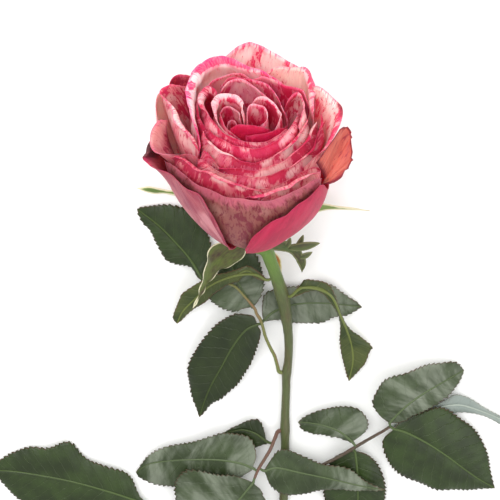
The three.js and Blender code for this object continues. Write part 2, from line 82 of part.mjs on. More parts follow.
const LEAVES = {
  "leaflet_upper_terminal": {"L":[[-22.92,121.36,6.86],[-25.61,122.84,5.77],[-28.74,127.04,4.23],[-35.03,127.97,3.0],[-39.5,130.1,2.29],[-43.0,135.67,1.66],[-46.02,142.75,1.24],[-49.5,147.01,1.07],[-51.2,150.82,1.01],[-52.03,153.71,1.06]],"M":[[-22.92,121.36,6.86],[-27.81,129.59,4.48],[-34.89,138.12,2.88],[-42.81,146.39,1.9],[-52.03,153.71,1.06]],"R":[[-22.92,121.36,6.86],[-21.12,126.14,5.51],[-19.08,134.17,3.84],[-20.59,142.4,2.72],[-24.1,149.3,1.99],[-30.28,153.89,1.51],[-37.35,155.69,1.22],[-41.79,155.64,1.11],[-46.23,155.13,1.03],[-49.79,154.65,1.01],[-52.03,153.71,1.06]]},
  "leaflet_upper_lateral": {"L":[[-1.01,109.13,8.06],[-5.19,108.01,7.22],[-8.66,105.98,6.58],[-14.06,107.11,5.82],[-17.21,108.93,5.46],[-20.11,112.49,5.14],[-19.18,117.08,4.95],[-16.68,122.91,4.83],[-14.4,129.77,4.9],[-10.8,137.67,5.26]],"M":[[-1.01,109.13,8.06],[-4.59,115.41,6.71],[-8.17,122.38,5.85],[-10.38,130.01,5.46],[-10.8,137.67,5.26]],"R":[[-1.01,109.13,8.06],[1.01,110.37,7.53],[3.03,113.96,6.76],[4.37,119.01,5.97],[3.73,124.64,5.44],[0.77,133.7,5.02],[-2.79,137.56,5.01],[-6.35,139.04,5.07],[-10.8,137.67,5.26]]},
  "leaf_simple_left": {"L":[[5.2,124.74,12.86],[3.68,126.96,12.94],[-2.35,131.51,13.41],[-7.21,130.09,13.47],[-12.54,128.01,12.56],[-18.03,126.17,11.14],[-22.84,123.1,9.69],[-31.48,115.95,6.82],[-33.35,112.57,5.86],[-36.84,101.84,3.01],[-35.03,98.15,2.06]],"M":[[5.2,124.5,12.86],[1.2,126.78,13.64],[-3.23,129.47,14.25],[-8.1,127.32,14.3],[-14.33,124.47,12.79],[-21.08,119.52,10.4],[-27.02,112.36,7.58],[-32.13,105.65,4.78],[-35.03,98.15,2.06]],"R":[[5.42,124.02,12.86],[2.53,125.06,13.03],[-1.02,127.39,13.37],[-4.12,127.21,13.5],[-7.23,123.67,13.17],[-12.14,121.61,11.82],[-17.54,116.77,9.73],[-21.18,112.62,8.15],[-27.13,107.05,5.67],[-32.47,100.56,3.05],[-35.03,98.15,2.06]]},
  "leaflet_middle_left": {"L":[[1.24,101.86,9.46],[-0.56,105.16,9.09],[-6.4,106.01,8.8],[-9.54,105.59,8.53],[-16.33,100.91,7.42],[-21.36,94.61,6.22],[-25.06,88.86,5.22],[-29.29,80.09,3.8],[-30.31,72.97,2.78],[-29.52,64.77,1.79],[-28.22,58.83,1.27],[-25.36,49.78,0.86]],"M":[[1.38,101.07,9.46],[-3.26,98.95,9.6],[-9.37,90.28,8.81],[-14.38,79.52,6.77],[-21.21,63.99,3.29],[-25.36,49.78,0.86]],"R":[[1.69,100.37,9.46],[3.05,96.77,9.21],[1.26,89.06,8.76],[-1.45,80.85,7.42],[-7.4,69.79,5.12],[-13.87,61.81,3.05],[-19.45,56.49,1.75],[-25.36,49.78,0.86]]},
  "leaflet_middle_right": {"L":[[3.95,102.57,7.26],[3.5,106.85,5.23],[5.3,113.74,2.99],[14.53,116.19,1.86],[20.15,116.77,2.05],[33.15,118.18,3.0],[39.04,114.67,3.52],[43.14,111.58,3.69],[45.87,109.87,3.73],[48.63,107.21,3.86]],"M":[[4.4,102.08,7.26],[9.38,105.42,4.28],[17.07,107.53,2.39],[26.08,108.66,2.7],[36.43,108.6,3.65],[48.63,107.21,3.86]],"R":[[4.86,101.58,7.26],[9.85,100.83,4.59],[17.14,99.0,2.26],[23.05,98.47,1.88],[28.49,98.47,2.21],[32.31,99.64,2.57],[37.0,102.41,3.16],[42.4,102.82,3.62],[48.63,107.21,3.86]]},
  "leaf_simple_right": {"L":[[16.58,115.74,12.86],[20.33,117.97,13.48],[24.75,119.66,14.0],[29.2,119.11,13.85],[32.37,116.48,13.44],[35.16,111.58,12.34],[37.57,105.73,10.32],[38.68,97.86,8.34],[38.65,92.27,7.09],[39.45,86.03,5.62],[41.31,78.0,3.68],[43.44,68.92,1.86]],"M":[[16.49,116.57,12.86],[19.42,119.59,13.85],[22.93,121.93,14.73],[27.8,121.81,15.0],[31.6,120.05,14.87],[34.1,116.94,14.45],[36.46,111.98,13.21],[38.88,105.66,11.24],[41.81,97.25,9.17],[44.33,88.72,7.02],[45.06,80.05,4.76],[43.44,68.92,1.86]],"R":[[16.35,117.2,12.86],[20.29,122.33,13.44],[22.48,125.15,13.77],[26.02,124.92,13.8],[29.14,124.39,13.7],[32.72,122.81,13.43],[35.02,118.7,12.94],[37.87,111.68,11.48],[42.24,99.97,8.61],[48.31,93.71,6.97],[53.25,88.55,5.61],[52.23,85.2,4.95],[50.59,79.62,3.88],[48.41,76.2,3.14],[46.01,72.25,2.38],[43.44,68.92,1.86]]},
  "leaflet_lower_left_side": {"L":[[-0.51,28.2,9.46],[0.87,34.04,8.59],[-0.52,40.24,7.95],[-4.21,43.58,7.37],[-13.46,44.37,6.4],[-18.56,42.8,5.9],[-28.99,38.8,4.81],[-41.17,35.31,3.2],[-49.52,29.85,1.92],[-55.36,20.86,1.06]],"M":[[-0.51,27.41,9.46],[-7.0,30.13,9.15],[-16.93,31.27,8.34],[-32.11,30.31,6.61],[-47.42,26.87,3.25],[-55.36,20.86,1.06]],"R":[[-0.98,26.61,9.46],[-3.76,24.11,8.77],[-10.3,19.83,7.75],[-21.54,16.29,6.22],[-32.35,15.0,4.88],[-42.71,15.11,3.2],[-47.67,15.68,2.3],[-53.54,17.8,1.31],[-55.36,20.86,1.06]]},
  "leaflet_lower_left_terminal": {"L":[[-0.75,21.61,11.86],[-8.86,24.72,11.74],[-16.92,25.26,11.76],[-25.07,27.02,11.13],[-32.05,26.5,10.21],[-36.34,20.16,9.29],[-36.52,9.96,8.25],[-33.9,-1.48,7.1],[-27.88,-9.53,6.36]],"M":[[-0.51,21.09,11.86],[-5.16,15.15,12.62],[-11.24,6.61,11.72],[-19.29,-2.49,9.06],[-27.88,-9.53,6.36]],"R":[[0.18,20.56,11.86],[3.68,16.15,11.58],[5.1,7.59,11.55],[1.38,-2.09,10.64],[-7.56,-9.66,8.86],[-18.44,-12.79,7.29],[-27.88,-9.53,6.36]]},
  "leaflet_lower_left_back": {"L":[[5.51,40.31,5.66],[4.57,45.1,4.84],[2.25,49.95,4.15],[-1.91,49.71,3.7],[-7.46,46.85,3.22],[-13.04,43.55,2.9],[-16.76,40.9,2.86]],"M":[[5.97,39.26,5.66],[0.87,43.03,4.88],[-5.15,44.73,4.15],[-11.18,43.34,3.49],[-16.76,40.9,2.86]],"R":[[5.98,38.22,5.66],[0.42,35.99,4.46],[-6.55,37.03,3.48],[-12.13,38.87,2.99],[-16.76,40.9,2.86]]},
  "leaflet_lower_right_side": {"L":[[4.58,27.17,10.46],[7.58,32.32,10.24],[11.02,37.06,10.28],[15.63,37.59,10.3],[23.53,33.81,10.09],[31.46,29.89,9.65],[41.24,28.01,9.12],[45.94,25.75,8.87],[52.59,19.72,8.5],[61.09,15.43,8.46]],"M":[[4.82,26.64,10.46],[11.99,28.52,10.98],[23.58,25.62,11.45],[37.57,22.03,10.72],[49.31,18.24,9.65],[61.09,15.43,8.46]],"R":[[4.96,26.12,10.46],[7.87,18.05,10.25],[14.41,14.35,10.3],[23.26,14.74,10.06],[31.65,16.07,9.58],[41.46,15.76,9.03],[51.77,14.94,8.53],[61.09,15.43,8.46]]},
  "leaflet_right_small": {"L":[[45.68,40.97,7.86],[51.63,45.76,7.06],[51.98,51.75,6.59],[46.85,56.97,5.68],[37.7,56.82,4.39],[29.48,54.21,3.35],[23.99,51.25,2.66],[20.33,47.96,2.36]],"M":[[45.37,40.45,7.86],[39.61,45.52,7.58],[32.71,47.82,6.04],[25.83,48.36,4.1],[20.33,47.96,2.36]],"R":[[44.78,39.93,7.86],[42.01,41.15,7.21],[34.64,42.71,5.83],[28.21,42.69,4.24],[23.59,43.71,3.2],[20.33,47.96,2.36]]},
  "leaflet_right_lower": {"L":[[45.9,34.65,5.86],[39.02,32.07,5.0],[34.48,25.88,4.34],[32.52,18.04,3.65],[33.41,6.8,2.76],[36.92,-4.56,1.87],[46.63,-15.02,0.86]],"M":[[46.83,34.38,5.86],[47.98,25.34,5.27],[48.75,13.01,4.21],[48.65,-1.37,2.68],[46.63,-15.02,0.86]],"R":[[47.76,34.65,5.86],[52.96,32.17,5.19],[57.78,26.54,4.56],[60.84,18.14,3.82],[61.61,8.03,3.02],[58.68,-4.45,2.06],[46.63,-15.02,0.86]]},
  "leaflet_right_upper": {"L":[[61.66,51.77,10.06],[57.69,55.49,9.77],[54.15,61.67,9.79],[56.46,68.68,9.51],[60.3,73.45,8.85],[69.15,75.86,7.58],[78.28,79.14,6.0],[85.23,79.43,4.53],[91.77,79.15,2.93],[96.17,74.55,1.86]],"M":[[62.35,51.77,10.06],[68.05,59.16,10.9],[75.68,65.39,10.06],[84.86,70.18,7.42],[96.17,74.55,1.86]],"R":[[63.05,51.51,10.06],[68.49,52.93,10.41],[75.93,56.85,10.41],[84.44,61.11,8.71],[89.66,65.08,6.95],[93.37,69.3,4.66],[95.25,71.65,3.21],[96.17,74.55,1.86]]},
  "leaflet_right_terminal": {"L":[[64.34,48.65,9.06],[69.35,52.77,8.03],[76.21,55.27,7.38],[84.01,57.65,6.49],[89.19,55.99,5.79],[94.03,51.95,5.0],[100.84,46.17,3.9],[105.92,38.31,2.91],[109.21,29.37,2.01],[110.85,20.96,1.24],[113.27,12.18,0.86]],"M":[[64.36,47.87,9.06],[73.21,44.42,9.03],[86.59,35.02,7.52],[102.9,20.19,3.68],[113.27,12.18,0.86]],"R":[[63.91,47.35,9.06],[60.38,43.32,8.33],[59.36,38.96,8.01],[62.65,29.66,7.35],[68.5,22.23,6.36],[76.43,17.85,5.2],[83.17,14.35,4.22],[89.15,13.11,3.44],[103.27,11.79,1.7],[113.27,12.18,0.86]]},
  "leaflet_right_back": {"L":[[66.01,48.66,4.66],[74.21,54.0,3.95],[86.11,58.5,3.15],[92.45,62.18,2.77],[98.99,60.49,2.49],[106.64,55.14,2.15],[113.82,50.78,1.76],[119.66,46.32,1.22],[123.59,42.98,0.86]],"M":[[66.03,47.88,4.66],[78.83,53.94,3.83],[92.62,57.16,3.06],[104.35,53.78,2.52],[116.27,48.15,1.72],[123.59,42.98,0.86]],"R":[[66.05,47.09,4.66],[76.67,49.76,3.8],[88.21,51.96,3.02],[96.07,52.78,2.61],[106.11,51.52,2.18],[114.03,46.58,1.71],[119.8,43.67,1.17],[123.59,42.98,0.86]]},
  "leaflet_bottom_left": {"L":[[-48.5,4.85,4.06],[-53.61,8.96,3.71],[-54.95,12.18,3.69],[-58.96,21.27,3.7],[-69.62,25.38,3.43],[-78.4,29.37,2.97],[-84.26,36.5,2.49],[-88.44,37.43,2.26],[-96.05,34.05,1.87],[-104.93,34.35,1.45],[-115.96,29.24,0.82],[-123.83,21.71,0.66]],"M":[[-48.51,4.31,4.06],[-59.18,9.07,4.83],[-74.02,14.64,5.19],[-88.93,18.46,4.39],[-110.05,21.62,2.42],[-123.83,21.71,0.66]],"R":[[-48.52,3.5,4.06],[-56.17,-0.77,3.69],[-68.06,-4.05,3.67],[-82.29,-4.39,3.08],[-98.74,0.47,2.1],[-112.63,8.63,1.26],[-123.83,21.71,0.66]]},
};
const RACHISES = {
  "rachis_upper": [[11.53,74.92,4.46,1.2],[10.59,78.36,5.46,1.05],[9.27,84.11,6.86,1.0],[6.92,89.72,8.06,0.95],[4.95,95.06,8.76,0.9],[3.77,100.23,9.16,0.9],[2.59,103.84,9.46,1.0],[1.01,106.56,9.46,0.9],[0.16,109.03,9.46,0.85],[-3.69,114.15,9.36,0.75],[-9.05,119.76,8.76,0.7],[-15.75,121.07,7.86,0.65],[-21.13,121.3,7.16,0.6]],
  "rachis_lower_left": [[11.17,43.64,3.46,1.2],[9.67,41.47,5.86,1.1],[7.57,37.33,8.86,1.0],[4.57,32.11,9.86,0.95],[1.8,27.17,10.46,0.95],[0.28,23.39,11.26,0.8]],
  "rachis_right": [[17.39,17.79,3.76,1.2],[21.43,21.73,5.46,1.1],[30.65,27.28,6.86,1.0],[39.85,32.67,7.06,1.0],[46.47,37.36,7.46,1.0],[53.5,42.39,8.06,0.9],[59.8,46.93,8.76,0.85],[62.49,49.11,9.06,0.85]],
  "rachis_bottom_left": [[9.83,-26.56,2.76,1.2],[3.81,-22.25,3.46,1.1],[-9.02,-14.31,3.86,1.0],[-23.18,-6.6,3.96,0.95],[-35.86,-0.02,4.06,0.9],[-47.29,3.77,4.06,0.8]],
};
const STEM = [
  [-1.69,153.27,23.26,5.0],
  [-0.82,151.62,22.66,5.8],
  [0.93,148.29,21.46,6.3],
  [3.12,145.19,20.26,5.6],
  [4.66,142.31,19.06,3.7],
  [5.99,139.22,17.96,3.0],
  [8.7,130.35,15.16,2.8],
  [10.75,123.04,12.86,2.9],
  [12.19,117.46,11.26,3.1],
  [13.55,110.76,9.46,2.8],
  [14.29,104.68,8.06,2.6],
  [15.27,96.56,6.66,2.15],
  [15.71,88.98,5.46,1.95],
  [15.52,80.41,4.46,1.95],
  [14.83,74.57,3.96,2.2],
  [14.69,70.28,3.56,1.95],
  [14.65,63.87,3.06,1.95],
  [14.37,51.77,2.66,1.95],
  [14.33,43.89,2.56,2.3],
  [14.37,38.59,2.46,2.0],
  [14.29,22.71,2.46,2.05],
  [14.19,16.3,2.46,2.4],
  [14.0,9.83,2.41,2.05],
  [13.49,-15.15,2.46,2.1],
  [13.18,-27.3,2.46,2.5],
  [12.95,-35.15,2.36,2.1],
  [12.19,-71.45,2.26,2.1],
  [11.39,-106.25,2.46,2.45],
  [11.24,-114.69,2.26,2.15],
  [10.64,-154.59,2.16,2.15],
  [11.36,-197.94,2.46,2.5],
  [11.81,-207.0,2.26,2.2],
  [13.09,-233.47,2.16,2.2],
];

// ---------------------------------------------------------------- helpers
const V = (a) => new THREE.Vector3(a[0], a[1], a[2]);
const base = V(BLOOM.base), axR = V(BLOOM.right), axF = V(BLOOM.front), axA = V(BLOOM.axis);
const lift = (x, y) => CUP_STEP * (CUP_RADIUS - Math.hypot(x, y));
const opening = (x, y) => CUP_LENGTH + CUP_SIDES * x * x / (x * x + y * y + 1) * Math.min(1, (x * x + y * y) / 400)
  - CUP_FRONT * Math.max(y, 0) ** 2 / (x * x + y * y + 1);
const cup = (x, y, h) => (1 - Math.exp(-Math.max(h - lift(x, y), 0) / opening(x, y))) / (1 - Math.exp(-CUP_TOP / opening(x, y))) * (1 + CUP_WIDEN * (h - CUP_REF));

// Catmull-Rom through rows of numbers, n samples
function resample(rows, n, byLength = true) {
  const P = [rows[0].map((v, k) => 2 * v - rows[1][k]), ...rows, rows[rows.length - 1].map((v, k) => 2 * v - rows[rows.length - 2][k])];
  const at = (t) => {
    const s = Math.min(Math.max(t, 0), 1) * (rows.length - 1);
    const i = Math.min(Math.floor(s), rows.length - 2), u = s - i;
    return rows[0].map((_, k) => {
      const [a, b, c, d] = [P[i][k], P[i + 1][k], P[i + 2][k], P[i + 3][k]];
      return 0.5 * (2 * b + (c - a) * u + (2 * a - 5 * b + 4 * c - d) * u * u + (3 * b - a - 3 * c + d) * u * u * u);
    });
  };
  if (!byLength) return Array.from({ length: n }, (_, i) => at(i / (n - 1)));
  const M = 200, cum = [0];
  let prev = at(0);
  for (let i = 1; i <= M; i++) {
    const q = at(i / M);
    cum.push(cum[i - 1] + Math.hypot(...q.slice(0, Math.min(3, q.length)).map((v, k) => v - prev[k])));
    prev = q;
  }
  return Array.from({ length: n }, (_, i) => {
    const L = cum[M] * i / (n - 1);
    let j = 1;
    while (j < M && cum[j] < L) j++;
    const f = (L - cum[j - 1]) / Math.max(cum[j] - cum[j - 1], 1e-9);
    return at((j - 1 + f) / M);
  });
}

// a thin closed blade around a grid of points: grid[i][j], i along, j across
function blade(grid, thickness) {
  const n = grid.length, m = grid[0].length;
  const normal = (i, j) => {
    const a = grid[Math.min(i + 1, n - 1)][j].clone().sub(grid[Math.max(i - 1, 0)][j]);
    const b = grid[i][Math.min(j + 1, m - 1)].clone().sub(grid[i][Math.max(j - 1, 0)]);
    return a.cross(b).normalize();
  };
  const pos = [], half = [];
  for (const side of [1, -1]) for (let i = 0; i < n; i++) for (let j = 0; j < m; j++) {
    const t = typeof thickness === 'function' ? thickness(i, j) : thickness;
    const p = grid[i][j].clone().addScaledVector(normal(i, j), side * t / 2);
    pos.push(p.x, p.y, p.z);
  }
  const top = (i, j) => i * m + j, bot = (i, j) => n * m + i * m + j;
  const idx = [];
  for (let i = 0; i < n - 1; i++) for (let j = 0; j < m - 1; j++) {
    idx.push(top(i, j), top(i + 1, j), top(i + 1, j + 1), top(i, j), top(i + 1, j + 1), top(i, j + 1));
    idx.push(bot(i, j), bot(i + 1, j + 1), bot(i + 1, j), bot(i, j), bot(i, j + 1), bot(i + 1, j + 1));
  }
  const wall = (t0, t1, b0, b1) => idx.push(t0, t1, b1, t0, b1, b0);
  for (let i = 0; i < n - 1; i++) {
    wall(top(i + 1, 0), top(i, 0), bot(i + 1, 0), bot(i, 0));
    wall(top(i, m - 1), top(i + 1, m - 1), bot(i, m - 1), bot(i + 1, m - 1));
  }
  for (let j = 0; j < m - 1; j++) {
    wall(top(0, j), top(0, j + 1), bot(0, j), bot(0, j + 1));
    wall(top(n - 1, j + 1), top(n - 1, j), bot(n - 1, j + 1), bot(n - 1, j));
  }
  return solidGeometry(pos, idx);
}

// indexed geometry with its faces turned outwards
function solidGeometry(pos, idx) {
  let g = new THREE.BufferGeometry();
  g.setAttribute('position', new THREE.Float32BufferAttribute(pos, 3));
  g.setIndex(idx);
  g = mergeVertices(g, 1e-4);
  const p = g.attributes.position, t = g.index.array;
  let vol = 0;
  const a = new THREE.Vector3(), b = new THREE.Vector3(), c = new THREE.Vector3();
  for (let k = 0; k < t.length; k += 3) {
    a.fromBufferAttribute(p, t[k]); b.fromBufferAttribute(p, t[k + 1]); c.fromBufferAttribute(p, t[k + 2]);
    vol += a.dot(b.cross(c)) / 6;
  }
  if (vol < 0) for (let k = 0; k < t.length; k += 3) { const s = t[k + 1]; t[k + 1] = t[k + 2]; t[k + 2] = s; }
  return g;
}

// a closed tube along a centre line with its own radius at each point
function tube(rows, sides, count, cutSlant = 0) {
  const pts = resample(rows, count);
  const P = pts.map(V);
  const pos = [], idx = [];
  let up = new THREE.Vector3(0, 0, 1);
  const rings = [];
  for (let i = 0; i < count; i++) {
    const d = P[Math.min(i + 1, count - 1)].clone().sub(P[Math.max(i - 1, 0)]).normalize();
    const x = new THREE.Vector3().crossVectors(d, up).normalize();
    const y = new THREE.Vector3().crossVectors(x, d).normalize();
    up = y;
    rings.push([d, x, y]);
    for (let k = 0; k < sides; k++) {
      const t = 2 * Math.PI * k / sides, r = pts[i][3];
      const q = P[i].clone().addScaledVector(x, r * Math.cos(t)).addScaledVector(y, r * Math.sin(t));
      if (i === count - 1 && cutSlant) q.addScaledVector(d, cutSlant * Math.sin(t));
      pos.push(q.x, q.y, q.z);
    }
  }
  const first = pos.length / 3; pos.push(P[0].x, P[0].y, P[0].z);
  const last = first + 1; pos.push(P[count - 1].x, P[count - 1].y, P[count - 1].z);
  for (let i = 0; i < count - 1; i++) for (let k = 0; k < sides; k++) {
    const k2 = (k + 1) % sides, a = i * sides + k, b = i * sides + k2, c = a + sides, d = b + sides;
    idx.push(a, b, d, a, d, c);
  }
  for (let k = 0; k < sides; k++) {
    const k2 = (k + 1) % sides;
    idx.push(first, k2, k);
    idx.push(last, (count - 1) * sides + k, (count - 1) * sides + k2);
  }
  return { geometry: solidGeometry(pos, idx), P, pts, rings };
}

// ---------------------------------------------------------------- petals
// The wall stands on the plan curve and follows the cup's profile up to the rim; where
// the rim's own place is further out, the last part of the wall flares out to it.
function petalGeometry(rows, power) {
  const reach = Math.max(...rows.map((r) => Math.hypot(r[0], r[1])));
  const inner = reach < INNER_RADIUS;
  const levels = inner ? INNER_ROWS : OUTER_ROWS;
  let len = 0;
  for (let i = 1; i < rows.length; i++) len += Math.hypot(rows[i][0] - rows[i - 1][0], rows[i][1] - rows[i - 1][1]);
  const n = Math.max(6, Math.min(14, Math.round(len / (inner ? 4.0 : 6.2)) + 1));
  const cols = resample(rows, n);
  const grid = cols.map(([wx, wy, rx, ry, hr, h1]) => {
    const up = lift(wx, wy), top = levels[levels.length - 1] + 5;
    const k = hr - up < top ? (hr - up - levels[0]) / (top - levels[0]) : 1;
    const hs = levels.map((h) => up + levels[0] + (h - levels[0]) * k);
    if (h1 > hs[hs.length - 1]) hs[hs.length - 1] = h1;
    hs.push(hr);
    const rim = cup(wx, wy, hr);
    return hs.map((h) => {
      const s = cup(wx, wy, h), f = (Math.max(0, h - h1) / (hr - h1)) ** power;
      return base.clone().addScaledVector(axR, wx * s + (rx - wx * rim) * f).addScaledVector(axF, wy * s + (ry - wy * rim) * f).addScaledVector(axA, h);
    });
  });
  const last = grid[0].length - 1;
  return blade(grid, (i, j) => PETAL_THICKNESS * (j === last ? 0.7 : Math.min(1, 0.33 + 0.16 * Math.max(0, levels[j] - levels[0]))));
}

// ---------------------------------------------------------------- leaves and sepals
// left edge, midrib and right edge with two columns between them
function leafGeometry(t, n, thickness, camber) {
  const L = resample(t.L, n), M = resample(t.M, n), R = resample(t.R, n);
  const grid = M.map((m, i) => {
    const l = V(L[i]), c = V(m), r = V(R[i]);
    const up = new THREE.Vector3(0, 0, 1);
    const w = l.distanceTo(r);
    const ql = l.clone().lerp(c, 0.5).addScaledVector(up, camber * w), qr = r.clone().lerp(c, 0.5).addScaledVector(up, camber * w);
    return [l, ql, c, qr, r];
  });
  // the tip closes to a narrow end rather than a point
  const e = grid[n - 1], back = grid[n - 2][2].clone().sub(e[2]).normalize();
  const side = new THREE.Vector3().crossVectors(back, new THREE.Vector3(0, 0, 1)).normalize();
  const s = grid[n - 2][0].clone().sub(grid[n - 2][4]).dot(side) > 0 ? 1 : -1;
  e.forEach((p, j) => p.addScaledVector(side, s * (2 - j) * 0.22));
  const b = grid[0], fwd = grid[1][2].clone().sub(b[2]).normalize();
  const side2 = new THREE.Vector3().crossVectors(fwd, new THREE.Vector3(0, 0, 1)).normalize();
  const s2 = grid[1][0].clone().sub(grid[1][4]).dot(side2) > 0 ? 1 : -1;
  b.forEach((p, j) => { p.copy(grid[0][2]).addScaledVector(side2, s2 * (2 - j) * 0.3); });
  return blade(grid, thickness);
}

// ---------------------------------------------------------------- stem with its prickles
async function stemGeometry() {
  const t = tube(STEM, 10, 74, CUT_SLANT);
  const wasm = await Module();
  wasm.setup();
  const solid = (g) => new wasm.Manifold(new wasm.Mesh({ numProp: 3, vertProperties: new Float32Array(g.attributes.position.array), triVerts: new Uint32Array(g.index.array) }));
  let body = solid(t.geometry);
  // low dome that the petals stand round
  const dome = new THREE.LatheGeometry([[0, -2.5], [4.4, -2.5], [5.8, 0.2], [6.6, 2.6], [5.6, 4.2], [3.8, 6.2], [2.2, 9.0], [0, 9.6]].map((p) => new THREE.Vector2(...p)), 12);
  dome.deleteAttribute('normal'); dome.deleteAttribute('uv');
  let dg = mergeVertices(dome, 1e-4);
  const basis = new THREE.Matrix4().makeBasis(axR, axA, axF.clone().negate()).setPosition(base);
  dg.applyMatrix4(basis);
  dg = solidGeometry([...dg.attributes.position.array], [...dg.index.array]);
  body = body.add(solid(dg));
  for (const [f, deg, len] of PRICKLES) {
    const i = Math.round(f * (t.P.length - 1));
    const [d, x, y] = t.rings[i];
    const a = deg * Math.PI / 180;
    const out = x.clone().multiplyScalar(Math.cos(a)).addScaledVector(y, Math.sin(a));
    const side = new THREE.Vector3().crossVectors(d, out).normalize();
    const r = t.pts[i][3];
    const c = t.P[i].clone().addScaledVector(out, r * 0.5);
    const pos = [], idx = [];
    for (let k = 0; k < 6; k++) {
      const q = k * Math.PI / 3;
      const p = c.clone().addScaledVector(d, 2.0 * Math.cos(q)).addScaledVector(side, 0.8 * Math.sin(q));
      pos.push(p.x, p.y, p.z);
    }
    const tip = c.clone().addScaledVector(out, len).addScaledVector(d, 1.4);
    pos.push(tip.x, tip.y, tip.z, c.x, c.y, c.z);
    for (let k = 0; k < 6; k++) idx.push(k, (k + 1) % 6, 6, (k + 1) % 6, k, 7);
    body = body.add(solid(solidGeometry(pos, idx)));
  }
  const m = body.getMesh();
  const g = new THREE.BufferGeometry();
  const np = m.numProp, vp = [];
  for (let i = 0; i < m.vertProperties.length; i += np) vp.push(m.vertProperties[i], m.vertProperties[i + 1], m.vertProperties[i + 2]);
  g.setAttribute('position', new THREE.Float32BufferAttribute(vp, 3));
  g.setIndex([...m.triVerts]);
  return mergeVertices(g, 1e-3);
}

// ---------------------------------------------------------------- the flower
const rose = new THREE.Group();
const bloom = new THREE.Group();
const foliage = new THREE.Group();
rose.add(bloom, foliage);

const petalColour = { heart: 0xd22a50, ring: 0xd8486a, front: 0xdb6a7c, left: 0xdc7f88, right: 0xdc7f80, back: 0xe79a9c, outer: 0xc83c5c };
function add(group, name, geometry, color, roughness) {
  const mesh = new THREE.Mesh(geometry, new THREE.MeshStandardMaterial({ color, roughness, metalness: 0 }));
  mesh.name = name;
  group.add(mesh);
}
for (const [name, rows] of Object.entries(PETALS)) add(bloom, name, petalGeometry(rows, FLARE[name] ?? 2), petalColour[name.split('_')[1]] ?? 0xd96a7c, 0.55);
for (const [name, t] of Object.entries(SEPALS)) add(bloom, name, leafGeometry(t, 8, SEPAL_THICKNESS, 0.03), 0x6f7d2c, 0.6);
for (const [name, t] of Object.entries(LEAVES)) add(foliage, name, leafGeometry(t, 9, LEAF_THICKNESS, 0.02), 0x33482b, 0.45);
for (const [name, t] of Object.entries(RACHISES)) add(foliage, name, tube(t, 6, 16).geometry, 0x6b4a33, 0.6);
add(foliage, 'stem', await stemGeometry(), 0x4f7a2a, 0.5);

export default rose;
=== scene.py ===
import math
import bpy
import numpy as np
from mathutils import Matrix, Vector


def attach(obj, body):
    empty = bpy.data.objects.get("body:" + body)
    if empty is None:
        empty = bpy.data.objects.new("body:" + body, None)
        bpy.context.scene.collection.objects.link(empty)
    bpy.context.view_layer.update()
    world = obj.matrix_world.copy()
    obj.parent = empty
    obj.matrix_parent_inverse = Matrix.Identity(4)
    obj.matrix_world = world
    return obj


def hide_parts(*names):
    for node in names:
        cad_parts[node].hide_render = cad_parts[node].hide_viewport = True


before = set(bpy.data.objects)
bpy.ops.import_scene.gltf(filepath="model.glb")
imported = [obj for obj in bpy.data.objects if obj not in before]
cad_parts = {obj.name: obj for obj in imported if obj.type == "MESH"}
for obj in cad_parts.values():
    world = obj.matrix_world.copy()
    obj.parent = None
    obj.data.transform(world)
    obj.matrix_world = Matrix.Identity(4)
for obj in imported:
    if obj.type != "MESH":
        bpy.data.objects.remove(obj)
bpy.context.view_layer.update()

# ------------------------------------------------------------------ shape tables, millimetres
BLOOM = {
    "base": [-1.69,153.11,22.86],
    "right": [0.99993,0.01112,0.0045],
    "front": [0.0,-0.37534,0.92689],
    "axis": [-0.012,0.92682,0.37531],
}
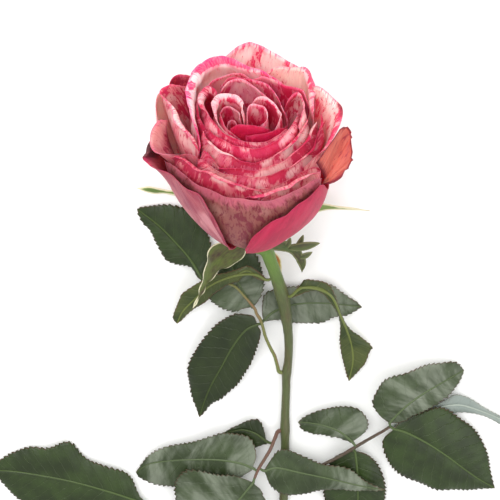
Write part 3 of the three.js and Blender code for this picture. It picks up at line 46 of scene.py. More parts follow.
PETALS = {
    "petal_heart_right_inner": [[-0.4,4.2,-0.43,4.48,66.5,50.5],[-0.6,1.6,-0.64,1.72,69.2,53.2],[0.6,-1.2,0.65,-1.29,69.8,53.8],[3.1,-2.3,3.33,-2.47,69.4,53.4],[5.7,-1.6,6.12,-1.72,68.8,52.8],[7.1,0.6,7.6,0.64,67.8,51.8],[7.2,3.0,7.69,3.2,66.8,50.8],[6.0,4.9,6.38,5.21,65.6,49.6],[4.2,4.6,4.45,4.88,64.2,48.2],[3.6,2.9,3.81,3.07,64.0,48.0]],
    "petal_heart_right_outer": [[0.7,-2.6,0.75,-2.79,69.2,53.2],[1.6,-3.9,1.72,-4.2,69.9,53.9],[3.1,-4.9,3.34,-5.28,70.6,54.6],[5.5,-5.2,5.93,-5.61,70.8,54.8],[7.9,-4.1,8.52,-4.42,70.5,54.5],[10.2,-1.8,10.99,-1.94,69.8,53.8],[11.9,1.0,12.77,1.07,68.3,52.3],[12.5,3.0,13.44,3.23,68.8,52.8],[12.1,4.9,13.0,5.26,68.6,52.6],[11.1,6.4,11.85,6.83,66.5,50.5],[9.6,7.3,10.17,7.73,64.0,48.0]],
    "petal_heart_left_inner": [[-8.0,3.4,-8.37,3.56,60.0,44.0],[-8.6,1.6,-9.02,1.68,61.0,45.0],[-8.0,-0.2,-8.42,-0.21,62.0,46.0],[-6.3,-0.9,-6.64,-0.95,62.4,46.4],[-4.9,0.2,-5.16,0.21,62.2,46.2],[-4.5,2.0,-4.73,2.1,61.6,45.6],[-5.3,3.4,-5.56,3.57,61.0,45.0]],
    "petal_heart_left_middle": [[-3.3,3.5,-3.55,3.76,69.7,53.7],[-3.2,1.3,-3.42,1.39,67.4,51.4],[-3.8,-1.9,-4.04,-2.02,65.4,49.4],[-5.7,-4.1,-6.07,-4.36,65.8,49.8],[-7.9,-4.7,-8.42,-5.01,66.2,50.2],[-9.9,-3.6,-10.55,-3.84,66.2,50.2],[-11.1,-0.4,-11.84,-0.43,66.3,50.3],[-10.7,2.8,-11.45,3.0,67.5,51.5],[-9.1,5.7,-9.66,6.05,64.9,48.9],[-6.5,7.6,-6.87,8.03,63.0,47.0],[-3.4,8.2,-3.58,8.63,61.6,45.6]],
    "petal_heart_left_outer": [[-2.4,4.6,-2.6,4.99,73.5,57.5],[-1.9,2.2,-2.06,2.38,73.1,57.1],[-1.9,-1.3,-2.04,-1.4,69.9,53.9],[-3.2,-4.5,-3.44,-4.83,69.1,53.1],[-5.6,-6.1,-6.02,-6.56,69.7,53.7],[-8.2,-6.3,-8.84,-6.79,70.1,54.1],[-10.8,-5.3,-11.65,-5.72,70.3,54.3],[-12.8,-2.7,-13.83,-2.92,70.3,54.3],[-13.5,0.3,-14.6,0.32,70.5,54.5],[-12.9,3.2,-13.82,3.43,67.6,51.6],[-11.4,6.4,-12.17,6.83,66.6,50.6],[-9.2,9.0,-9.78,9.57,65.2,49.2],[-6.1,10.4,-6.46,11.01,63.5,47.5],[-2.6,10.6,-2.74,11.17,61.9,45.9]],
    "petal_heart_front_inner": [[-7.4,4.9,-7.85,5.2,64.5,48.5],[-6.2,5.9,-6.6,6.28,65.6,49.6],[-4.4,6.4,-4.69,6.82,66.3,50.3],[-1.6,6.8,-1.71,7.25,66.6,50.6],[1.4,7.0,1.49,7.46,66.2,50.2],[4.4,7.2,4.68,7.66,65.7,49.7],[7.0,6.9,7.44,7.34,65.3,49.3],[8.5,5.7,9.02,6.05,64.7,48.7]],
    "petal_heart_front": [[-1.2,8.7,-1.27,9.22,64.0,48.0],[2.0,9.0,2.12,9.52,63.4,47.4],[5.3,9.2,5.61,9.74,63.6,47.6],[8.4,9.2,8.91,9.76,64.6,48.6],[11.1,8.5,11.81,9.05,65.5,49.5],[13.4,7.2,14.28,7.67,65.8,49.8],[14.7,5.2,15.69,5.55,66.2,50.2]],
    "petal_ring_front_1": [[-12.0,-9.9,-12.93,-10.67,69.6,53.6],[-13.8,-10.9,-14.9,-11.77,69.9,53.9],[-16.0,-10.7,-17.31,-11.57,69.9,53.9],[-17.7,-8.3,-19.15,-8.98,69.5,53.5],[-18.2,-4.9,-19.66,-5.29,69.0,53.0],[-17.4,-1.0,-18.74,-1.08,68.4,52.4],[-16.2,3.3,-17.52,3.57,70.0,54.0],[-14.4,6.9,-15.54,7.44,69.7,53.7],[-12.4,9.3,-13.32,9.99,68.5,52.5],[-9.9,11.1,-10.56,11.84,66.4,50.4],[-6.2,12.7,-6.58,13.49,64.8,48.8],[-2.0,13.4,-2.12,14.18,63.5,47.5],[2.2,13.6,2.33,14.38,63.0,47.0],[6.0,13.2,6.34,13.95,63.0,47.0],[9.5,12.2,10.07,12.93,64.0,48.0],[12.6,10.7,13.4,11.38,65.2,49.2],[15.0,8.4,16.0,8.96,66.0,50.0],[16.0,6.4,16.96,6.78,64.0,48.0]],
    "petal_ring_back_1": [[-10.4,-8.9,-11.3,-9.67,72.9,56.9],[-9.5,-10.9,-10.31,-11.83,72.4,56.4],[-7.4,-12.9,-8.02,-13.98,72.3,56.3],[-4.4,-13.6,-4.77,-14.74,72.4,56.4],[-1.3,-13.0,-1.41,-14.08,72.2,56.2],[1.8,-11.0,1.95,-11.89,71.7,55.7],[4.4,-8.4,4.75,-9.07,71.1,55.1],[7.2,-6.2,7.75,-6.68,69.9,53.9],[9.9,-4.6,10.67,-4.96,69.9,53.9]],
    "petal_ring_back_2": [[-10.8,-13.8,-11.66,-14.9,70.3,54.3],[-8.2,-15.1,-8.88,-16.35,71.6,55.6],[-5.5,-15.6,-5.96,-16.89,72.0,56.0],[-2.5,-15.3,-2.71,-16.56,72.1,56.1],[1.0,-13.7,1.08,-14.84,72.3,56.3],[4.1,-11.8,4.45,-12.81,73.1,57.1],[6.7,-10.7,7.27,-11.61,72.7,56.7],[9.1,-8.8,9.85,-9.53,71.6,55.6],[11.2,-5.4,12.1,-5.83,70.5,54.5],[12.9,-1.4,13.88,-1.51,68.9,52.9],[14.2,2.0,15.34,2.16,70.0,54.0]],
    "petal_ring_back_3": [[-16.3,-12.8,-17.71,-13.91,71.4,55.4],[-13.3,-15.3,-14.4,-16.57,70.8,54.8],[-9.8,-17.0,-10.6,-18.39,71.1,55.1],[-6.3,-17.7,-6.82,-19.17,71.9,55.9],[-2.5,-17.6,-2.71,-19.05,72.0,56.0],[1.0,-16.8,1.08,-18.16,71.5,55.5]],
    "petal_ring_back_4": [[1.9,-15.4,2.06,-16.69,72.5,56.5],[5.6,-14.0,6.09,-15.22,73.6,57.6],[8.7,-12.6,9.47,-13.71,73.5,57.5],[11.7,-11.3,12.73,-12.3,73.1,57.1],[14.4,-10.4,15.66,-11.31,72.2,56.2],[17.5,-9.6,19.07,-10.46,71.7,55.7],[20.8,-8.0,22.65,-8.71,71.0,55.0],[22.6,-4.6,24.55,-5.0,70.0,54.0]],
    "petal_ring_right": [[14.8,-3.9,16.1,-4.24,72.2,56.2],[17.2,-5.8,18.76,-6.33,72.2,56.2],[19.5,-5.9,21.27,-6.44,71.5,55.5],[21.1,-3.5,22.86,-3.79,69.3,53.3],[21.6,0.1,23.45,0.11,69.8,53.8],[20.9,4.3,22.81,4.69,71.5,55.5],[19.3,7.9,20.84,8.53,68.8,52.8]],
    "petal_ring_front_2": [[-19.9,-8.4,-21.43,-9.05,67.9,51.9],[-19.8,-3.1,-21.28,-3.33,67.3,51.3],[-19.1,1.2,-20.37,1.28,65.4,49.4],[-17.0,5.3,-18.0,5.61,63.7,47.7],[-15.3,8.8,-16.29,9.37,65.3,49.3],[-13.5,11.8,-14.4,12.59,66.1,50.1],[-10.7,13.8,-11.38,14.68,65.3,49.3],[-7.4,15.2,-7.85,16.12,64.3,48.3],[-4.0,16.0,-4.23,16.92,63.0,47.0],[-0.6,16.2,-0.63,17.1,62.3,46.3],[2.9,16.0,3.06,16.88,62.1,46.1],[6.4,15.5,6.76,16.37,62.7,46.7],[9.9,14.5,10.49,15.37,63.9,47.9],[13.0,12.9,13.83,13.72,65.1,49.1],[15.9,10.7,17.05,11.47,67.4,51.4],[17.9,7.3,19.37,7.9,69.7,53.7],[19.0,3.2,20.53,3.46,68.9,52.9],[18.9,-1.6,20.18,-1.71,65.8,49.8]],
    "petal_front_3": [[-17.9,7.8,-19.16,8.35,66.5,50.5],[-17.3,11.0,-18.31,11.64,63.4,47.4],[-15.2,14.6,-16.11,15.47,63.8,47.8],[-11.9,17.0,-12.56,17.94,62.4,46.4],[-8.3,18.7,-8.73,19.68,61.2,45.2],[-5.0,19.5,-5.23,20.41,59.1,43.1],[-1.5,20.0,-1.56,20.85,57.5,41.5],[1.9,19.9,1.98,20.71,56.9,40.9],[5.5,19.3,5.73,20.12,57.6,41.6],[9.0,18.1,9.4,18.9,58.6,42.6],[12.5,16.4,13.09,17.17,59.8,43.8],[16.0,14.2,16.8,14.91,61.0,45.0],[19.0,11.4,20.04,12.03,62.4,46.4],[21.5,8.2,22.94,8.75,65.3,49.3],[22.8,5.1,24.48,5.48,66.8,50.8],[23.3,0.9,24.77,0.96,64.2,48.2]],
    "petal_front_4": [[-18.7,14.8,-19.6,15.51,60.4,44.4],[-17.2,17.0,-18.13,17.92,62.0,46.0],[-15.4,18.6,-16.12,19.47,59.7,43.7],[-13.2,19.9,-13.65,20.58,55.6,39.6],[-10.5,21.0,-10.86,21.71,55.1,39.1],[-6.7,22.1,-6.96,22.96,56.4,40.4],[-2.4,22.7,-2.5,23.61,56.5,40.5],[1.9,22.7,1.97,23.58,56.0,40.0],[6.2,22.0,6.44,22.85,56.2,40.2],[10.5,20.5,10.91,21.3,56.7,40.7],[14.5,18.5,15.07,19.23,57.4,41.4],[18.4,15.8,19.16,16.45,58.5,42.5],[21.9,12.4,22.91,12.97,60.0,44.0],[24.6,8.8,25.89,9.26,61.6,45.6],[26.0,6.0,27.8,6.42,65.5,49.5],[26.7,3.0,28.67,3.22,66.5,50.5]],
    "petal_front_5": [[-20.0,18.0,-20.95,18.86,60.0,44.0],[-16.7,21.1,-17.48,22.08,59.4,43.4],[-13.7,22.8,-14.24,23.7,57.0,41.0],[-9.8,24.3,-10.16,25.2,55.8,39.8],[-5.1,25.4,-5.29,26.36,55.8,39.8],[-0.5,25.7,-0.52,26.64,55.2,39.2],[4.2,25.4,4.35,26.29,54.7,38.7],[8.9,24.2,9.2,25.01,54.6,38.6],[13.3,22.4,13.74,23.14,55.0,39.0],[17.6,19.8,18.15,20.42,55.2,39.2],[21.4,16.7,22.09,17.23,56.1,40.1],[24.8,13.0,25.62,13.43,56.8,40.8],[27.2,9.5,28.18,9.84,57.7,41.7],[28.6,6.2,30.64,6.64,65.8,49.8],[28.7,3.0,30.6,3.2,64.5,48.5],[28.0,0.4,30.25,0.43,68.0,52.0]],
    "petal_front_6": [[-1.0,28.7,-1.02,29.33,50.0,34.0],[4.0,28.4,4.09,29.04,50.4,34.4],[9.2,27.3,9.41,27.92,50.8,34.8],[13.2,25.9,13.52,26.54,52.0,36.0],[17.6,23.7,18.03,24.27,52.7,36.7],[22.0,21.0,22.52,21.5,53.4,37.4],[26.0,18.8,26.58,19.22,53.6,37.6],[29.2,17.5,29.81,17.86,53.4,37.4]],
    "petal_left_1": [[12.7,-12.6,13.83,-13.72,72.9,56.9],[9.2,-14.7,10.0,-15.97,72.9,56.9],[5.6,-17.0,6.08,-18.46,73.1,57.1],[1.1,-19.5,1.19,-21.18,73.4,57.4],[-2.8,-22.1,-3.04,-24.0,73.2,57.2],[-6.7,-24.5,-7.28,-26.63,73.3,57.3],[-10.5,-25.1,-11.42,-27.29,73.2,57.2],[-14.8,-23.8,-16.09,-25.88,72.7,56.7],[-18.3,-20.5,-19.9,-22.3,72.1,56.1],[-20.6,-16.4,-22.38,-17.82,71.1,55.1],[-21.9,-10.5,-23.78,-11.4,70.2,54.2],[-22.4,-4.5,-24.23,-4.87,68.8,52.8],[-22.1,0.9,-23.84,0.97,68.0,52.0],[-21.0,5.9,-22.32,6.27,64.4,48.4],[-19.7,9.5,-20.84,10.05,63.2,47.2],[-18.9,12.3,-20.01,13.02,63.4,47.4]],
    "petal_left_2": [[-33.4,-17.6,-33.63,-18.51,67,51],[-32.4,-19.4,-32.64,-19.62,68.5,52.5],[-30.9,-20.9,-31.08,-20.54,69.5,53.5],[-28.6,-21.6,-28.99,-20.94,70,54],[-26.0,-21.8,-26.48,-20.65,70,54],[-23.8,-21.9,-24.4,-21.27,70,54],[-22.2,-22.6,-22.77,-23.18,70,54]],
    "petal_left_3": [[-24.6,-16.2,-25.59,-16.68,69,53],[-27.6,-14.6,-28.85,-14.67,69.5,53.5],[-30.0,-12.0,-33.32,-13.29,71,55],[-31.0,-9.0,-37.16,-9.68,70.5,54.5],[-31.0,-5.6,-33.87,-3.71,71,55],[-30.0,-1.6,-30.48,1.43,70,54],[-28.3,2.4,-28.8,5.7,68.3,52.3],[-26.7,5.8,-26.96,8.88,66.2,50.2],[-23.8,9.2,-23.74,11.49,63.3,47.3],[-20.8,12.4,-20.49,14.84,60.8,44.8]],
    "petal_left_4": [[-33.6,-13.2,-36.51,-15.88,66,50],[-34.6,-9.5,-37.95,-12.13,66.5,50.5],[-35.2,-6.5,-38.33,-8.34,66.5,50.5],[-35.6,-3.5,-38.37,-3.89,66,50],[-35.8,-0.5,-37.96,-0.6,64.5,48.5]],
    "petal_left_5": [[-33.6,-2.5,-33.47,1.68,67,51],[-33.5,-0.5,-36.24,0.92,65,49],[-33.2,2.0,-38.75,2.34,63,47],[-32.4,5.0,-40.39,5.32,61,45],[-31.2,8.0,-40.49,10.4,59.5,43.5],[-29.6,10.6,-37.3,14.76,59,43],[-27.6,12.4,-30.73,15.82,59,43],[-25.4,14.0,-26.83,16.2,59.3,43.3],[-23.4,15.3,-23.75,16.78,59.8,43.8],[-21.7,16.3,-20.67,17.65,60,44]],
    "petal_front_7": [[-30.2,15.6,-31.36,16.2,57.5,41.5],[-28.2,17.9,-29.52,18.74,59.5,43.5],[-25.2,20.6,-26.43,21.61,60.0,44.0],[-21.2,23.4,-22.14,24.44,58.6,42.6],[-16.9,26.1,-17.66,27.27,58.6,42.6],[-12.5,28.1,-13.06,29.36,58.3,42.3],[-8.2,29.6,-8.54,30.82,56.9,40.9],[-4.0,30.5,-4.15,31.64,55.4,39.4],[0.2,31.0,0.21,32.04,54.0,38.0],[4.5,30.9,4.63,31.78,52.3,36.3],[8.4,30.3,8.59,30.99,50.6,34.6]],
    "petal_front_8": [[-3.5,33.3,-3.59,34.2,51.7,35.7],[0.6,33.2,0.62,34.12,51.9,35.9],[4.9,32.9,5.04,33.84,52.3,36.3],[9.4,32.1,9.7,33.12,53.6,37.6],[13.8,30.4,14.25,31.38,54.1,38.1],[18.1,28.2,18.7,29.13,54.7,38.7],[22.1,25.8,22.82,26.65,55.1,39.1],[25.8,23.4,26.63,24.15,55.3,39.3],[28.4,21.7,29.39,22.46,56.2,40.2]],
    "petal_front_9": [[-33.8,13.6,-34.72,13.97,55.0,39.0],[-32.3,15.9,-33.21,16.35,55.1,39.1],[-29.6,19.3,-30.57,19.93,55.9,39.9],[-26.5,22.5,-27.31,23.19,55.0,39.0],[-23.3,25.5,-23.98,26.24,54.2,38.2],[-19.3,28.5,-19.87,29.34,53.7,37.7],[-15.0,31.2,-15.46,32.15,53.5,37.5],[-10.7,33.1,-11.02,34.1,53.1,37.1],[-6.4,34.5,-6.59,35.53,52.7,36.7],[-1.8,35.3,-1.85,36.33,52.4,36.4],[2.9,35.3,2.98,36.23,51.4,35.4],[7.6,34.7,7.79,35.55,50.9,34.9],[12.2,33.4,12.5,34.22,51.3,35.3],[16.6,31.7,17.04,32.55,52.4,36.4],[20.8,29.6,21.39,30.44,53.4,37.4],[25.0,26.9,25.79,27.75,54.7,38.7],[28.8,24.0,29.62,24.68,54.3,38.3]],
    "petal_right_1": [[6.4,-20.7,6.92,-22.39,71.5,55.5],[10.2,-19.6,11.09,-21.31,73.1,57.1],[14.1,-18.2,15.41,-19.9,74.4,58.4],[18.2,-16.9,20.0,-18.57,75.4,59.4],[21.2,-16.2,23.35,-17.85,75.7,59.7],[23.3,-15.0,25.41,-16.36,71.9,55.9],[24.1,-12.0,26.1,-12.99,69.3,53.3],[24.6,-7.5,26.5,-8.08,67.6,51.6],[24.9,-3.3,26.73,-3.54,66.5,50.5],[24.9,0.3,27.05,0.33,69.7,53.7]],
    "petal_right_2": [[26.4,-8.6,26.26,-12.47,72.5,56.5],[28.2,-6.2,28.25,-9.64,73,57],[29.5,-3.2,31.91,-7.28,72,56],[30.4,-0.4,35.14,-4.63,71,55],[30.9,2.2,38.13,-1.05,70,54],[31.0,4.8,38.87,1.85,69,53],[30.7,7.2,38.17,5.7,67.5,51.5],[30.1,9.6,36.45,9.56,65.5,49.5],[29.1,12.0,33.96,12.84,63,47],[27.7,14.2,30.66,15.79,60.5,44.5],[25.5,16.3,27.03,15.89,56.5,40.5],[22.6,18.4,22.91,18.11,54.7,38.7]],
    "petal_right_3": [[31.35,19.7,27.49,20.98,59.5,47],[31.3,19.9,30.56,18.24,63,47],[31.2,20.15,34.24,15.22,66.5,47],[31.1,20.4,37.41,9.97,68.3,47],[30.95,20.7,39.97,7.01,67,47],[30.8,21.0,42.53,6.17,63.5,47],[30.6,21.3,42.89,8.84,61.5,47],[30.4,21.6,43.63,12.79,59,47],[30.2,21.9,43.56,16.05,57,47],[29.95,22.2,41.68,18.73,54.5,47],[29.7,22.5,38.32,22.77,53,47],[29.4,22.8,33.39,24.62,52,47]],
    "petal_back_1": [[-17.0,-28.3,-18.05,-30.05,64.0,48.0],[-12.6,-30.5,-13.49,-32.65,67.1,51.1],[-8.6,-31.9,-9.24,-34.28,68.7,52.7],[-6.1,-32.5,-6.59,-35.1,70.8,54.8],[-2.8,-32.9,-3.04,-35.77,73.6,57.6],[1.1,-33.1,1.2,-36.09,74.8,58.8],[4.9,-32.6,5.32,-35.42,73.3,57.3],[8.8,-31.8,9.51,-34.38,71.1,55.1],[13.4,-30.2,14.41,-32.48,68.8,52.8],[19.3,-26.9,20.67,-28.81,66.8,50.8],[23.6,-23.1,25.2,-24.67,65.4,49.4],[27.0,-19.0,28.52,-20.07,62.0,46.0]],
    "petal_outer_front_left": [[-36.9,-10.5,-37.74,-9.11,52,36],[-37.8,-5.0,-38.69,-2.49,54,38],[-38.0,0.0,-40.13,2.95,55,39],[-37.6,5.0,-41.81,11.95,56.5,40.5],[-36.8,10.0,-44.01,16.9,58,42],[-35.6,14.0,-40.74,18.93,56.5,40.5],[-33.6,18.0,-36.31,19.83,54.5,38.5],[-30.8,21.8,-32.18,22.81,53.6,37.6],[-27.6,25.2,-28.04,26.39,53,37],[-24.2,28.3,-23.93,29.82,52,36],[-20.6,31.0,-20.06,33.29,50.5,34.5],[-17.3,32.9,-16.66,36.06,47.5,31.5],[-14.7,34.1,-14.45,33.53,40.1,24.1],[-12.6,35.2,-11.98,33.47,33.1,17.1],[-11.0,35.8,-8.7,28.3,17.4,1.4]],
    "petal_outer_front_right": [[32.9,1.0,30.34,0.92,40.0,24.0],[33.4,6.5,31.21,6.07,41.0,25.0],[34.0,12.0,32.27,11.39,42.0,26.0],[34.1,17.9,33.0,17.32,43.5,27.5],[32.8,23.3,32.27,22.92,45.0,29.0],[29.0,27.0,29.6,27.56,52.0,36.0],[24.8,29.9,25.06,30.21,48.8,32.8],[19.8,32.6,19.81,32.62,45.3,29.3],[15.2,34.9,15.07,34.6,42.0,26.0],[10.4,36.8,10.28,36.39,40.4,24.4],[5.3,37.8,5.16,36.79,36.0,20.0],[1.4,38.2,1.33,36.32,31.2,15.2],[-2.2,38.0,-1.95,33.74,23.0,7.0]],
    "petal_outer_back_right": [[33.95,-1.78,32.93,-1.73,46.0,30.0],[33.75,-8.02,33.76,-8.02,50.5,34.5],[32.38,-14.25,33.08,-14.56,54.0,38.0],[29.85,-20.23,30.86,-20.91,56.2,40.2],[26.21,-25.76,27.22,-26.75,57.0,41.0],[21.54,-30.62,22.39,-31.83,57.0,41.0],[15.96,-34.62,16.53,-35.85,55.5,39.5],[9.64,-37.6,9.88,-38.55,52.2,36.2],[2.76,-39.4,2.78,-39.71,47.0,31.0]],
    "petal_outer_back_left": [[-37.02,-13.48,-37.09,-13.51,50.0,34.0],[-34.42,-19.19,-35.16,-19.6,53.4,37.4],[-30.95,-24.43,-31.99,-25.25,55.8,39.8],[-26.68,-29.05,-27.74,-30.21,57.1,41.1],[-21.74,-32.93,-22.63,-34.28,57.3,41.3],[-16.23,-35.98,-16.84,-37.34,56.1,40.1],[-10.31,-38.11,-10.6,-39.18,53.0,37.0],[-4.13,-39.28,-4.16,-39.59,47.0,31.0]],
}
SEPALS = {
    "sepal_front_left": {"L":[[-3.63,150.7,29.46],[-11.4,150.01,28.94],[-17.91,147.69,27.88],[-20.15,142.36,26.42],[-21.61,133.51,22.41],[-23.54,124.44,18.19],[-24.99,117.91,15.52],[-27.35,110.84,12.86]],"M":[[-1.91,150.0,29.46],[-6.22,147.13,29.89],[-11.85,144.15,29.51],[-16.24,138.76,27.93],[-19.86,130.6,23.42],[-22.66,122.34,18.9],[-24.99,116.61,15.88],[-27.35,110.84,12.86]],"R":[[0.25,150.23,29.46],[-3.2,146.81,29.12],[-4.07,144.4,28.98],[-7.11,139.83,28.22],[-11.47,137.44,27.07],[-15.89,133.45,24.45],[-20.4,126.14,19.84],[-22.71,120.59,17.16],[-27.35,110.84,12.86]]},
    "sepal_right": {"L":[[3.36,150.18,13.46],[13.49,153.27,9.39],[20.09,156.49,7.97],[27.57,158.65,6.87],[32.0,158.19,6.32],[36.44,157.04,5.81],[43.11,155.81,5.11],[51.13,154.08,4.36]],"M":[[3.8,148.28,13.46],[13.5,151.02,9.71],[21.43,154.18,8.13],[28.03,156.63,7.14],[33.34,156.92,6.45],[39.99,156.27,5.66],[45.78,155.29,5.0],[51.13,154.08,4.36]],"R":[[4.25,146.38,13.46],[13.52,147.68,9.7],[20.14,150.86,8.14],[24.99,152.91,7.35],[28.95,155.04,6.73],[33.37,155.53,6.17],[40.02,155.23,5.44],[46.68,154.72,4.77],[51.13,154.08,4.36]]},
    "sepal_left": {"L":[[-4.54,149.71,13.46],[-15.09,155.51,9.09],[-25.64,160.43,7.19],[-32.64,163.96,6.55],[-39.23,165.01,6.23],[-45.8,166.34,6.01],[-48.88,166.07,5.92],[-51.53,165.57,5.86]],"M":[[-4.98,147.81,13.46],[-15.1,153.29,9.45],[-25.65,158.67,7.53],[-32.65,162.89,6.83],[-39.23,163.92,6.47],[-44.94,164.76,6.2],[-48.45,165.17,6.03],[-51.53,165.57,5.86]],"R":[[-5.42,145.9,13.46],[-15.12,150.89,9.38],[-25.68,156.22,7.32],[-32.67,161.6,6.57],[-39.26,163.13,6.24],[-43.66,163.07,6.09],[-48.04,163.96,5.96],[-51.53,165.57,5.86]]},
    "sepal_lower_right": {"L":[[6.31,149.69,27.06],[11.1,148.59,25.55],[15.49,146.69,23.28],[19.52,142.89,19.86],[21.39,137.8,16.87],[22.82,132.87,14.33],[21.16,127.94,11.86]],"M":[[6.1,148.52,27.06],[10.24,146.38,25.89],[14.64,144.32,23.24],[17.78,141.1,20.13],[20.08,136.34,16.81],[21.52,131.79,14.05],[21.16,127.94,11.86]],"R":[[6.11,147.11,27.06],[8.08,144.52,25.95],[13.35,142.43,22.68],[16.04,140.07,19.93],[18.33,135.81,16.67],[20.22,130.53,13.37],[21.16,127.94,11.86]]},
    "sepal_under": {"L":[[5.14,141.39,14.06],[7.81,138.51,11.78],[10.96,134.57,9.31],[11.88,131.05,7.87],[12.16,126.51,6.36],[11.75,122.65,5.36]],"M":[[4.26,139.71,14.06],[6.94,136.54,11.66],[9.63,133.19,9.47],[10.78,129.58,7.83],[11.49,126.08,6.49],[11.75,122.65,5.36]],"R":[[3.38,138.52,14.06],[6.06,134.88,11.16],[8.31,131.53,8.99],[9.68,128.44,7.45],[10.83,124.93,6.09],[11.75,122.65,5.36]]},
}
